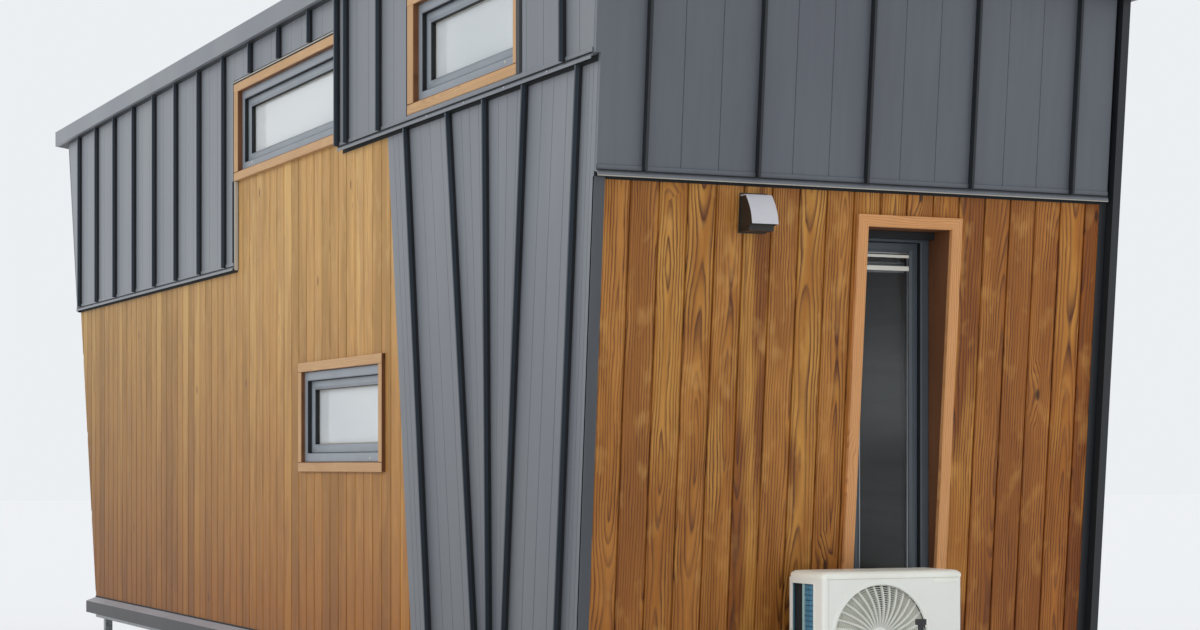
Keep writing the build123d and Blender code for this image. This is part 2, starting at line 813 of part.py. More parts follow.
def inside_casing(window):
    """Clear size inside a casing, whose jambs are wider in the raised metal."""
    jamb = raised_jamb if window in raised_windows else casing_face
    return (window[2] - 2 * jamb, window[3] - 2 * casing_face)


def side_ring(side, window, level, outer, inner, depth):
    """A frame round a window of a long side, from a level out of the boards' face inward."""
    plane = side_plane(side * (half_width + level))
    ring(plane, (back(window[0]), window[1]), outer, inner, side * depth)


def side_pane(side, window, level, size):
    """A pane of glass in a window of a long side."""
    with BuildSketch(side_plane(side * (half_width + level))) as glass:
        with Locations((back(window[0]), window[1])):
            Rectangle(*size)
    extrude(glass.sketch, amount=side * pane_thick)


# Windows of the long sides
pane_level = sash_set + (sash_depth - pane_thick) / 2
raised_windows = (clerestory, upper_window, right_upper)

for side, windows, suffix in ((-1, left_windows, "left"), (1, right_windows, "right")):
    with BuildPart() as casings:
        for window in windows:
            proud = casing_proud_metal if window in raised_windows else casing_proud_boards
            side_ring(side, window, proud, window[2:], inside_casing(window), proud + side_recess + frame_depth)
    casings.part.label = f"casings_{suffix}"
    export_step(casings.part, f"parts/casings_{suffix}.step")

    with BuildPart() as frames:
        for window in windows:
            frame_size = inside_casing(window)
            sash_size = shrink(frame_size, frame_face)
            side_ring(side, window, -side_recess, frame_size, sash_size, frame_depth)
            glass_size = shrink(sash_size, sash_face)
            side_ring(side, window, -side_recess - sash_set, sash_size, glass_size, sash_depth)
    frames.part.label = f"frames_{suffix}"
    export_step(frames.part, f"parts/frames_{suffix}.step")

    with BuildPart() as panes:
        for window in windows:
            pane_size = shrink(inside_casing(window), frame_face + sash_face)
            side_pane(side, window, -side_recess - pane_level, pane_size)
    panes.part.label = f"panes_{suffix}"
    export_step(panes.part, f"parts/panes_{suffix}.step")

# Tall window: its frame stands plumb in a wall that leans, so the lining deepens upward
tall_face = near_x + tall_plane
tall_back = tall_face - frame_depth
tall_size = (tall_width, tall_height)
tall_middle = (tall_offset, tall_middle_z)

with BuildPart() as casing_tall:
    lining = [
        (tall_back, tall_foot), (near_face(tall_foot, casing_proud_boards), tall_foot),
        (near_face(tall_head, casing_proud_boards), tall_head), (tall_back, tall_head),
    ]
    cross_slab(lining, tall_offset - tall_width / 2, tall_offset + tall_width / 2)
    with BuildSketch(end_plane(tall_face)):
        with Locations(tall_middle):
            Rectangle(*shrink(tall_size, casing_face))
    extrude(amount=2 * wall_thick, both=True, mode=Mode.SUBTRACT)
casing_tall.part.label = "casing_tall"
export_step(casing_tall.part, "parts/casing_tall.step")

with BuildPart() as frame_tall:
    frame_size = shrink(tall_size, casing_face)
    ring(end_plane(tall_face), tall_middle, frame_size, shrink(frame_size, frame_face), -frame_depth)
    sash_size = shrink(frame_size, frame_face)
    sash_plane = end_plane(tall_face - sash_set)
    ring(sash_plane, tall_middle, sash_size, shrink(sash_size, sash_face), -sash_depth)
frame_tall.part.label = "frame_tall"
export_step(frame_tall.part, "parts/frame_tall.step")

with BuildPart() as pane_tall:
    with BuildSketch(end_plane(tall_face - pane_level)):
        with Locations(tall_middle):
            Rectangle(*shrink(tall_size, casing_face + frame_face + sash_face))
    extrude(amount=-pane_thick)
pane_tall.part.label = "pane_tall"
export_step(pane_tall.part, "parts/pane_tall.step")

# Entrance door in the +Y side
door_middle = back(door_back)
opening_width = door_width - 2 * casing_face
opening_low = door_foot + threshold
opening_high = door_head - casing_face
opening_size = (opening_width, opening_high - opening_low)
opening_middle = (door_middle, (opening_low + opening_high) / 2)

with BuildPart() as door_casing:
    with BuildSketch(side_plane(half_width + casing_proud_boards)):
        with Locations((door_middle, door_window[1])):
            Rectangle(door_width, door_height)
        with Locations(opening_middle):
            Rectangle(*opening_size, mode=Mode.SUBTRACT)
    extrude(amount=casing_proud_boards + side_recess + frame_depth)
door_casing.part.label = "door_casing"
export_step(door_casing.part, "parts/door_casing.step")

leaf_y = half_width - side_recess
handle_z = floor_top + handle_up
handle_x = door_middle + opening_width / 2 - door_stile / 2
lever_z = handle_z + lever_rise
plate_width, plate_height, plate_thick = handle_plate
with BuildPart() as door_leaf:
    ring(side_plane(leaf_y), opening_middle, opening_size, shrink(opening_size, door_stile), door_leaf_thick)
    with BuildSketch(side_plane(leaf_y)):
        with Locations((handle_x, handle_z)):
            Rectangle(plate_width, plate_height)
    extrude(amount=-plate_thick)
    with BuildSketch(side_plane(leaf_y + plate_thick)):
        with Locations((handle_x, lever_z)):
            Circle(lever_radius)
    extrude(amount=-lever_reach)
    with BuildSketch(end_plane(handle_x + lever_radius)):
        with Locations((leaf_y + plate_thick + lever_reach - lever_radius, lever_z)):
            Circle(lever_radius)
    extrude(amount=-lever_length)
door_leaf.part.label = "door_leaf"
export_step(door_leaf.part, "parts/door_leaf.step")

with BuildPart() as door_glass:
    with BuildSketch(side_plane(leaf_y - (door_leaf_thick - pane_thick) / 2)):
        with Locations(opening_middle):
            Rectangle(*shrink(opening_size, door_stile))
    extrude(amount=pane_thick)
door_glass.part.label = "door_glass"
export_step(door_glass.part, "parts/door_glass.step")

# Blinds: one lowered in the low window, one drawn up in the tall window
with BuildPart() as blinds:
    low_frame = shrink(low_window[2:], casing_face + frame_face)
    blind_width = low_frame[0] + 2 * blind_gap
    blind_high = low_window[1] + low_frame[1] / 2 + blind_gap
    blind_low = low_window[1] - low_frame[1] / 2 - blind_gap
    front_y = -half_width + side_recess + frame_depth
    blind_start = back(low_window[0]) - blind_width / 2
    for low in (blind_high - blind_rail, blind_low):
        with BuildSketch(end_plane(blind_start)):
            with Locations((front_y + blind_depth / 2, low + blind_rail / 2)):
                Rectangle(blind_depth, blind_rail)
        extrude(amount=blind_width)
    for share in tape_shares:
        with BuildSketch(side_plane(front_y + blind_depth - slat_thick)):
            with Locations((blind_start + share * blind_width, (blind_low + blind_high) / 2)):
                Rectangle(tape_width, blind_high - blind_low - 2 * blind_rail)
        extrude(amount=-slat_thick)
    slat_run = blind_depth - slat_thick - blind_gap / 2
    for z in spaced(blind_low + blind_rail + slat_pitch / 2, blind_high - blind_rail - slat_pitch / 2, slat_pitch):
        slat = [
            (front_y + blind_gap / 2, z - slat_drop / 2), (front_y + blind_gap / 2 + slat_run, z + slat_drop / 2),
            (front_y + blind_gap / 2 + slat_run, z + slat_drop / 2 + slat_thick),
            (front_y + blind_gap / 2, z - slat_drop / 2 + slat_thick),
        ]
        outline(end_plane(blind_start), slat, blind_width)
    tall_frame = shrink(tall_size, casing_face + frame_face)
    tall_blind_width = tall_frame[0] + 2 * blind_gap
    tall_blind_head = tall_middle_z + tall_frame[1] / 2 + blind_gap
    stack_head = tall_blind_head - blind_rail - tall_stack
    for head, height in ((tall_blind_head, blind_rail), (stack_head, 2 * blind_rail)):
        with BuildSketch(Plane.XY.offset(head)):
            with Locations((tall_back - blind_depth / 2, tall_offset)):
                Rectangle(blind_depth, tall_blind_width)
        extrude(amount=-height)
    for share in tape_shares:
        with BuildSketch(Plane.XY.offset(tall_blind_head - blind_rail)):
            with Locations((tall_back - blind_depth / 2, tall_offset + (share - 0.5) * tall_blind_width)):
                Rectangle(slat_thick, tape_width)
        extrude(amount=-tall_stack)
blinds.part.label = "blinds"
export_step(blinds.part, "parts/blinds.step")

# Vent hood: a back plate with a curved hood, open at its lower edge
lean_up = Vector(near_slope, 0, 1).normalized()
lean_out = Vector(1, 0, -near_slope).normalized()
vent_low = vent_top - vent_height
vent_wall = Plane(origin=(near_face(vent_low), vent_offset, vent_low), x_dir=(0, 1, 0), z_dir=lean_out)


def hood_shape(width, skin, mode):
    """The hood's side view across a width: level top, bulging front, open foot."""
    corner = (near_face(vent_low), vent_offset + width / 2, vent_low)
    top = vent_height - skin
    with BuildSketch(Plane(origin=corner, x_dir=lean_out, z_dir=lean_out.cross(lean_up))) as side_view:
        with BuildLine():
            Line((vent_sheet, top), (vent_shoulder - skin, top))
            belly = (vent_belly[0] - skin, vent_belly[1])
            ThreePointArc((vent_shoulder - skin, top), belly, (vent_reach - skin, 0))
            Polyline((vent_reach - skin, 0), (vent_sheet, 0), (vent_sheet, top))
        make_face()
    extrude(side_view.sketch, amount=width, mode=mode)


with BuildPart() as vent_hood:
    hood_shape(vent_width, 0, Mode.ADD)
    hood_shape(vent_width - 2 * vent_sheet, vent_sheet, Mode.SUBTRACT)
    with BuildSketch(vent_wall):
        Rectangle(vent_width, vent_height, align=(Align.CENTER, Align.MIN))
    extrude(amount=vent_sheet)
vent_hood.part.label = "vent_hood"
export_step(vent_hood.part, "parts/vent_hood.step")

# Outdoor unit: housing with a round fan opening, standing on two bars over the drawbar
unit_depth, unit_width, unit_height = unit_size
unit_back = near_x + unit_clear
unit_front = unit_back + unit_depth
unit_foot = inner_top + unit_bar
fan_middle = (fan_offset, unit_foot + unit_height / 2)

with BuildPart() as unit_bars:
    for x in (unit_back + unit_bar, unit_front - unit_bar):
        with BuildSketch(side_plane(-bar_length / 2)):
            with Locations((x, inner_top + unit_bar / 2)):
                Rectangle(unit_bar, unit_bar)
        extrude(amount=-bar_length)
unit_bars.part.label = "unit_bars"
export_step(unit_bars.part, "parts/unit_bars.step")

with BuildPart() as unit_housing:
    with BuildSketch(end_plane(unit_back)):
        with Locations((unit_offset, unit_foot + unit_height / 2)):
            Rectangle(unit_width, unit_height)
    extrude(amount=unit_depth)
    fillet(unit_housing.edges().filter_by(Axis.Z), radius=unit_corner)
    with BuildSketch(end_plane(unit_front)):
        with Locations(fan_middle):
            Circle(fan_radius)
    extrude(amount=-recess_depth, mode=Mode.SUBTRACT)
unit_housing.part.label = "unit_housing"
export_step(unit_housing.part, "parts/unit_housing.step")

blade_outline = [(0.14, -0.16), (0.88, -0.38), (0.92, 0.24), (0.14, 0.16)]     # as shares of fan_radius
with BuildPart() as unit_fan:
    with BuildSketch(end_plane(unit_front - recess_depth)):
        with Locations(fan_middle):
            Circle(hub_radius)
    extrude(amount=hub_length)
    for turn in blade_turns:
        blade_root = Plane(origin=(unit_front - blade_inset, *fan_middle), z_dir=(1, 0, 0),
                           x_dir=Vector(0, 1, 0).rotate(Axis.X, turn))
        with BuildSketch(blade_root.rotated((blade_twist, 0, 0))):
            Polygon(*[(fan_radius * u, fan_radius * v) for u, v in blade_outline], align=None)
        extrude(amount=blade_thick)
unit_fan.part.label = "unit_fan"
export_step(unit_fan.part, "parts/unit_fan.step")

with BuildPart() as unit_grille:
    radii = [fan_radius * (index + 1) / grille_rings for index in range(grille_rings)]
    with BuildSketch(end_plane(unit_front - grille_bar)):
        with Locations(fan_middle):
            for radius in radii:
                Circle(radius)
                Circle(radius - grille_bar, mode=Mode.SUBTRACT)
            Circle(radii[0])
            with PolarLocations((radii[0] + fan_radius) / 2 - grille_bar, grille_spokes):
                Rectangle(fan_radius - radii[0], grille_bar)
    extrude(amount=grille_bar)
unit_grille.part.label = "unit_grille"
export_step(unit_grille.part, "parts/unit_grille.step")
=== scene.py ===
import bmesh
import bpy
import numpy as np
from mathutils import Matrix, Vector


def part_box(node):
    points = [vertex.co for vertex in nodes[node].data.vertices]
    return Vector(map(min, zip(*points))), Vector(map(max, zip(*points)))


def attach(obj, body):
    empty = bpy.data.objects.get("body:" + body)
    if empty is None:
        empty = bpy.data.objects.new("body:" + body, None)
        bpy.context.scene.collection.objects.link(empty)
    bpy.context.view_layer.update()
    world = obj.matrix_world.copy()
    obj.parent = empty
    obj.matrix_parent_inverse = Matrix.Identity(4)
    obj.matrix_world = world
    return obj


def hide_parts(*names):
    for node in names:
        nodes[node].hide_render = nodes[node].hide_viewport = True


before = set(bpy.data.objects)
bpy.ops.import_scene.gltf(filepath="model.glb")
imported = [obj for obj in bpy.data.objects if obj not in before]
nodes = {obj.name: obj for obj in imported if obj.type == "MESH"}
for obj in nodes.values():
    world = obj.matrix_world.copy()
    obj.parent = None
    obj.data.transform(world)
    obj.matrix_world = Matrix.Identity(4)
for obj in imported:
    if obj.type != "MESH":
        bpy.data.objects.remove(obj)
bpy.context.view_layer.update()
rng = np.random.default_rng(7)

# The house's planes, in metres, read from the frame's own nodes
lean = {"near": 4.84, "rear": 12.65}          # degrees that the two ends lean out
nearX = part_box("chassis_rails")[1].x
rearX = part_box("chassis_rails")[0].x
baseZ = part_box("boards_left")[0].z
halfWidth = -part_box("boards_left")[0].y
nearSlope = np.tan(np.radians(lean["near"]))
rearSlope = np.tan(np.radians(lean["rear"]))


# Placing and mesh helpers

def nearAt(z, out=0.0):
    # x on the near end's leaning face: the height above its foot times the slope, plus the level in front
    return nearX + (z - baseZ) * nearSlope + out


def rearAt(z, out=0.0):
    # the same on the rear end, which leans the other way
    return rearX - (z - baseZ) * rearSlope - out


def back(distance):
    # x at a distance back from the near end's foot
    return nearX - distance


def onWall(wall, u, v, out):
    # a wall's point: u along it (x on the sides, y on the ends), v its height, out the level
    # distance in front of the boards' face; the ends lean, and on a plumb plane out is x itself
    u, v, out = np.broadcast_arrays(u, v, out)
    if wall in ("left", "right"):
        return np.stack([u, -halfWidth - out if wall == "left" else halfWidth + out, v], -1)
    x = {"near": nearAt(v, out), "rear": rearAt(v, out), "plumb": out}[wall]
    return np.stack([x, u, v], -1)


def makePiece(name, parts, material, replaces=(), smooth=None):
    # one mesh of all the parts; grain holds a point's place in the wood, tone the shade of its board or tray
    counts = [len(part["points"]) for part in parts]
    starts = np.cumsum([0, *counts]).tolist()
    faces = [[start + i for i in face] for start, part in zip(starts, parts) for face in part["faces"]]
    mesh = bpy.data.meshes.new(name)
    mesh.from_pydata(np.vstack([part["points"] for part in parts]).tolist(), [], faces)
    grain = [part.get("grain", np.zeros((count, 3))) for part, count in zip(parts, counts)]
    tone = [np.broadcast_to(part.get("tone", 0.5), count) for part, count in zip(parts, counts)]
    layers = ("grain", "FLOAT_VECTOR", "vector", grain), ("tone", "FLOAT", "value", tone)
    for label, kind, key, values in layers:
        layer = mesh.attributes.new(label, kind, "POINT")
        layer.data.foreach_set(key, np.concatenate(values).astype(np.float32).ravel())
    tidy = bmesh.new()
    tidy.from_mesh(mesh)
    bmesh.ops.dissolve_degenerate(tidy, dist=1e-6, edges=tidy.edges[:])
    bmesh.ops.recalc_face_normals(tidy, faces=tidy.faces[:])
    tidy.to_mesh(mesh)
    tidy.free()
    piece = bpy.data.objects.new(name, mesh)
    bpy.context.collection.objects.link(piece)
    mesh.materials.append(material)
    if smooth:          # degrees past which an edge stays sharp
        mesh.polygons.foreach_set("use_smooth", np.ones(len(mesh.polygons), bool))
        mesh.set_sharp_from_angle(angle=np.radians(smooth))
    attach(piece, "root")
    if replaces:
        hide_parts(*replaces)


def bandFaces(rows, columns, closedRows=False, closedColumns=False):
    # quads between neighbouring points of a grid, row by row
    r = np.arange(rows if closedRows else rows - 1)[:, None]
    c = np.arange(columns if closedColumns else columns - 1)[None, :]
    r2, c2 = (r + 1) % rows, (c + 1) % columns
    corners = r * columns + c, r * columns + c2, r2 * columns + c2, r2 * columns + c
    return np.stack(np.broadcast_arrays(*corners), -1).reshape(-1, 4)


def gridPart(points, ends="flat", **extra):
    # closed sections, one a row, joined in order; the two ends are flat, open, or joined to each other
    points = np.array(points)
    rows, columns = points.shape[:2]
    faces = bandFaces(rows, columns, ends == "joined", True).tolist()
    if ends == "flat":
        faces += [list(range(columns))[::-1], list(range((rows - 1) * columns, rows * columns))]
    return dict(points=points.reshape(-1, 3), faces=faces, **extra)


def stick(wall, start, end, profile):
    # a straight stick in a wall: its profile (across, out) is carried from start (u, v) to end (u, v)
    profile, start, end = np.array(profile, float), np.array(start, float), np.array(end, float)
    length = np.hypot(*(end - start))
    along = (end - start) / length
    runs = np.repeat([[0.0], [length]], len(profile), axis=1)
    u = start[0] + along[0] * runs - along[1] * profile[:, 0]
    v = start[1] + along[1] * runs + along[0] * profile[:, 0]
    grain = np.stack(np.broadcast_arrays(profile.sum(1), runs, rng.uniform(0, 40)), -1)
    return gridPart(onWall(wall, u, v, profile[:, 1]), grain=grain.reshape(-1, 3), tone=rng.uniform(0, 1))


def rail(wall, ends, v, profile):
    # a level stick, its profile's across upward
    return stick(wall, (ends[0], v), (ends[1], v), profile)


def post(wall, u, ends, profile):
    # an upright stick, its profile's across toward lower u
    return stick(wall, (u, ends[0]), (u, ends[1]), profile)


def box(across, out, ease=0.0):
    # a rectangular section between two distances across and two out, its outer corners eased
    (a0, a1), (o0, o1) = across, out
    if not ease:
        return [(a0, o0), (a1, o0), (a1, o1), (a0, o1)]
    return [(a0, o0), (a1, o0), (a1, o1 - ease), (a1 - ease, o1), (a0 + ease, o1), (a0, o1 - ease)]


def rimPart(wall, middle, size, profile, seed=None, spread=(1.0, 1.0)):
    # a frame: its profile (inset from the outer edge, out) is carried round a rectangle with four mitres;
    # the spread multiplies the insets of the upright and the level bars
    profile = np.array(profile, float)
    signs = np.array([[-1, -1], [1, -1], [1, 1], [-1, 1]])
    half = np.array(size) / 2 - profile[:, :1] * np.array(spread)
    place = np.array(middle) + signs[:, None, :] * half
    seed = rng.uniform(0, 40) if seed is None else seed
    grain = np.stack(np.broadcast_arrays(profile[:, 0], place.sum(-1), seed), -1)
    points = onWall(wall, place[..., 0], place[..., 1], profile[:, 1])
    return gridPart(points, "joined", grain=grain.reshape(-1, 3))


def lathe(profile, centre, axis, steps):
    # a turned shape: each profile point (along the axis, radius) goes round the axis
    along, radius = np.array(profile, float).T
    angle = np.linspace(0, 2 * np.pi, steps, endpoint=False)[:, None]
    c, s = radius * np.cos(angle), radius * np.sin(angle)
    along = np.broadcast_to(along, c.shape)
    places = (along, c, s) if axis == "x" else (c, along, s)
    return gridPart(np.stack(places, -1) + np.array(centre), "joined")


# Node helper and materials

def linear(hexColour):
    # a hex colour as linear light: a straight line up to 0.04045, and above it a power of 2.4
    parts = np.array([int(hexColour[i:i + 2], 16) for i in (1, 3, 5)]) / 255
    low = parts <= 0.04045
    return (*np.where(low, parts / 12.92, ((parts + 0.055) / 1.055) ** 2.4), 1.0)


def addNode(tree, kind, inputs=None, out=0, ramp=None, **settings):
    # one node with its settings, its links and plain values, which may be hex colours; ramp is a list of
    # place and hex colour or level; out is the output that is handed back, or None for all of them
    made = tree.nodes.new("ShaderNode" + kind)
    for key, value in settings.items():
        setattr(made, key, value)
    for key, value in (inputs or {}).items():
        if isinstance(value, bpy.types.NodeSocket):
            tree.links.new(value, made.inputs[key])
        else:
            made.inputs[key].default_value = linear(value) if isinstance(value, str) else value
    if ramp:
        stops = made.color_ramp.elements
        while len(stops) < len(ramp):
            stops.new(0.5)
        for stop, (place, colour) in zip(stops, ramp):
            stop.position = place
            stop.color = linear(colour) if isinstance(colour, str) else (colour, colour, colour, 1)
    return made.outputs if out is None else made.outputs[out]


over = dict(out="Result", data_type="RGBA", blend_type="MIX")          # settings of a colour mix
times = dict(out="Result", data_type="RGBA", blend_type="MULTIPLY")


def newMaterial(name, viewColour):
    # a new material with its node tree and its shader
    material = bpy.data.materials.new(name)
    material.use_nodes = True
    material.diffuse_color = linear(viewColour)
    tree = material.node_tree
    return material, tree, tree.nodes["Principled BSDF"]


def oiledWood(name, looks):
    # Planed softwood under oil: rings cut nearly flat give arches and long islands of dark latewood that bend
    # round the knots, fine fibres run along the board, and each board has a tone of its own. It is satin.
    material, tree, shader = newMaterial(name, looks["tones"][1])
    grain = addNode(tree, "Attribute", out="Vector", attribute_name="grain")
    tone = addNode(tree, "Attribute", out="Fac", attribute_name="tone")
    parts = addNode(tree, "SeparateXYZ", {0: grain}, out=None)
    noises = {          # waves per metre across, along and from board to board, then the detail
        "drift": ((1.5, looks["wander"], 1.0), 2.0), "ripple": ((16.0, 3.0, 1.0), 3.0),
        "ragged": ((90.0, 11.0, 2.0), 2.0), "fibre": ((420.0, 5.0, 3.0), 3.0),
        "cloud": ((7.0, 1.1, 2.0), 2.0), "patch": ((19.0, 2.3, 4.0), 2.0), "sheen": ((14.0, 7.0, 5.0), 2.0)}
    for label, (scales, detail) in noises.items():
        place = addNode(tree, "VectorMath", {0: grain, 1: scales}, operation="MULTIPLY")
        settings = {"Vector": place, "Scale": 1.0, "Detail": detail}
        noises[label] = addNode(tree, "TexNoise", settings, out="Fac")
    # distance from the log's heart: across the board plus its ripples, and a depth that drifts along it
    across, heart = parts["X"], looks["heartShift"]
    for level, share in ((noises["ripple"], 0.03), (noises["ragged"], 0.0035), (tone, heart)):
        across = addNode(tree, "Math", {0: level, 1: share, 2: across}, operation="MULTIPLY_ADD")
    across = addNode(tree, "Math", {0: across, 1: -heart / 2 - 0.017}, operation="ADD")
    deep = looks["ringDepth"]
    depth = addNode(tree, "Math", {0: noises["drift"], 1: deep, 2: -deep / 2}, operation="MULTIPLY_ADD")
    radius = addNode(tree, "CombineXYZ", {0: across, 1: depth})
    radius = addNode(tree, "VectorMath", {0: radius}, out="Value", operation="LENGTH")
    # knots: a few cells of a stretched cell pattern; the rings pass round them as ovals
    along = addNode(tree, "Math", {0: parts["Z"], 1: 5.13, 2: parts["Y"]}, operation="MULTIPLY_ADD")
    spread = addNode(tree, "CombineXYZ", {0: parts["X"], 1: along})
    spread = addNode(tree, "VectorMath", {0: spread, 1: (7.0, 2.6, 1.0)}, operation="MULTIPLY")
    cell = addNode(tree, "TexVoronoi", {"Vector": spread, "Scale": 1.0}, out=None, voronoi_dimensions="2D")
    rare = addNode(tree, "SeparateColor", {0: cell["Color"]})
    rare = addNode(tree, "Math", {0: rare, 1: 1 - looks["knots"]}, operation="GREATER_THAN")
    pull = addNode(tree, "MapRange", {"Value": cell["Distance"], "From Max": 0.4,
                                      "To Min": looks["knotRings"], "To Max": 0.0})
    pull = addNode(tree, "Math", {0: pull, 1: rare}, operation="MULTIPLY")
    rings = addNode(tree, "Math", {0: radius, 1: 1 / looks["ringWidth"], 2: pull}, operation="MULTIPLY_ADD")
    rings = addNode(tree, "Math", {0: rings}, operation="FRACT")
    late = addNode(tree, "ValToRGB", {0: rings}, ramp=[(0.0, 0.05), (0.4, 0.15), (0.85, 1.0), (0.99, 0.05)])
    strength = addNode(tree, "MapRange", {"Value": noises["patch"], "From Min": 0.33, "From Max": 0.62,
                                          "To Min": 0.42, "To Max": looks["lateStrength"]})
    lateShare = addNode(tree, "Math", {0: late, 1: strength}, operation="MULTIPLY")
    mix = addNode(tree, "Math", {0: noises["cloud"], 1: 1.1, 2: -0.55}, operation="MULTIPLY_ADD")
    mix = addNode(tree, "Math", {0: tone, 1: mix}, operation="ADD")
    mix = addNode(tree, "Math", {0: noises["patch"], 1: looks["streaks"], 2: mix}, operation="MULTIPLY_ADD")
    mix = addNode(tree, "Math", {0: mix, 1: -looks["streaks"] / 2}, operation="ADD")
    places = np.linspace(0.02, 0.98, len(looks["tones"]))
    colour = addNode(tree, "ValToRGB", {0: mix}, ramp=list(zip(places, looks["tones"])))
    fibre = addNode(tree, "ValToRGB", {0: noises["fibre"]}, ramp=[(0.3, 0.72), (0.62, 1.0)])
    # pale patches: painted sheen where the fibres catch the light
    sheen = addNode(tree, "MapRange", {"Value": noises["sheen"], "From Min": 0.56, "From Max": 0.72,
                                       "To Max": looks["sheen"]})
    core = addNode(tree, "ValToRGB", {0: cell["Distance"]}, ramp=[(0.045, 0.9), (0.085, 0.0)])
    core = addNode(tree, "Math", {0: core, 1: rare}, operation="MULTIPLY")
    layers = [(lateShare, looks["latewood"], over), (looks["fibreStrength"], fibre, times),
              (sheen, looks["paintedSheen"], over), (core, looks["knotColour"], over)]
    place = addNode(tree, "SeparateXYZ", {0: addNode(tree, "TexCoord", out="Object")}, out=None)
    for axis, low, high, tint in looks["weather"]:
        # rain and sun have worked on one end of the field: toward the low place the wood takes this tint
        share = addNode(tree, "MapRange", {"Value": place[axis], "From Min": high, "From Max": low})
        layers.append((share, tint, times))
    for share, layer, blend in layers:
        colour = addNode(tree, "Mix", {"Factor": share, "A": colour, "B": layer}, **blend)
    tree.links.new(colour, shader.inputs["Base Color"])
    shader.inputs["Specular IOR Level"].default_value = looks["gloss"]
    rough = addNode(tree, "MapRange", {"Value": late, "To Min": 0.62, "To Max": 0.46})
    tree.links.new(rough, shader.inputs["Roughness"])
    height = addNode(tree, "Math", {0: late, 1: 0.5, 2: noises["fibre"]}, operation="MULTIPLY_ADD")
    bump = addNode(tree, "Bump", {"Height": height, "Strength": 0.35, "Distance": 0.0006})
    tree.links.new(bump, shader.inputs["Normal"])
    shader.inputs["IOR"].default_value = 1.48
    return material


def coatedSheet(name, looks):
    # Steel sheet with a baked matt coating: one even colour with faint rain streaks and shallow dents
    # a hand wide where the sheet isn't quite flat. Each tray is a shade of its own. Towards the ground
    # it darkens, which is painted shade, and towards the near end it may be a little darker, painted shade
    # too.
    material, tree, shader = newMaterial(name, looks["coat"])
    place = addNode(tree, "TexCoord", out="Object")
    axes = addNode(tree, "SeparateXYZ", {0: place}, out=None)
    wide = addNode(tree, "VectorMath", {0: place, 1: (1.0, 1.0, 0.35)}, operation="MULTIPLY")
    thin = addNode(tree, "VectorMath", {0: place, 1: (30.0, 30.0, 0.9)}, operation="MULTIPLY")
    noises = {"dents": (wide, 1 / looks["dentWidth"], 1.0), "streak": (thin, 1.0, 3.0),
              "dust": (place, 900.0, 2.0), "broad": (wide, 1.6, 2.0)}
    for label, (vector, scale, detail) in noises.items():
        settings = {"Vector": vector, "Scale": scale, "Detail": detail}
        noises[label] = addNode(tree, "TexNoise", settings, out="Fac")
    tone = addNode(tree, "Attribute", out="Fac", attribute_name="tone")
    height = addNode(tree, "MapRange", {"Value": axes["Z"], "From Min": 0.5, "From Max": 2.7})
    run = addNode(tree, "MapRange", {"Value": axes["X"], "From Min": -4.0, "From Max": 3.6})
    colour = addNode(tree, "ValToRGB", {0: noises["streak"]},
                     ramp=[(0.3, looks["streak"]), (0.55, looks["coat"]), (0.8, looks["dusty"])])
    shades = [(0.6, noises["dust"], [(0.35, 0.93), (0.65, 1.0)]),
              (1.0, tone, [(0.0, looks["trayShade"]), (1.0, 1.0)]),
              # painted shade: darker towards the ground
              (1.0, height, [(0.0, looks["footShade"]), (1.0, 1.0)]),
              (1.0, noises["broad"], [(0.35, looks["patch"]), (0.65, "#FFFFFF")]),
              # painted shade: darker towards the near end
              (1.0, run, [(0.0, 1.0), (1.0, looks.get("nearShade", 1.0))])]
    for share, level, ramp in shades:
        shade = addNode(tree, "ValToRGB", {0: level}, ramp=ramp)
        colour = addNode(tree, "Mix", {"Factor": share, "A": colour, "B": shade}, **times)
    tree.links.new(colour, shader.inputs["Base Color"])
    rough = addNode(tree, "MapRange", {"Value": noises["streak"], "To Min": looks["rough"] - 0.05,
                                       "To Max": looks["rough"] + 0.08})
    tree.links.new(rough, shader.inputs["Roughness"])
    bump = addNode(tree, "Bump", {"Height": noises["dents"], "Strength": 0.5, "Distance": looks["dentDepth"]})
    tree.links.new(bump, shader.inputs["Normal"])
    return material


def zincSheet(name):
    # Hot dip galvanised steel: crystals of zinc about 12 mm across, each catching the light its own way
    material, tree, shader = newMaterial(name, "#A4A8AA")
    place = addNode(tree, "TexCoord", out="Object")
    crystal = addNode(tree, "TexVoronoi", {"Vector": place, "Scale": 1 / 0.012}, out="Color")
    level = addNode(tree, "SeparateColor", {0: crystal})
    colour = addNode(tree, "ValToRGB", {0: level}, ramp=[(0.0, "#8E9396"), (1.0, "#B4B8BA")])
    cloud = addNode(tree, "TexNoise", {"Vector": place, "Scale": 9.0, "Detail": 3.0}, out="Fac")
    dull = addNode(tree, "ValToRGB", {0: cloud}, ramp=[(0.35, 0.78), (0.7, 1.0)])
    colour = addNode(tree, "Mix", {"Factor": 1.0, "A": colour, "B": dull}, **times)
    tree.links.new(colour, shader.inputs["Base Color"])
    rough = addNode(tree, "MapRange", {"Value": level, "To Min": 0.38, "To Max": 0.58})
    tree.links.new(rough, shader.inputs["Roughness"])
    shader.inputs["Metallic"].default_value = 0.85
    return material


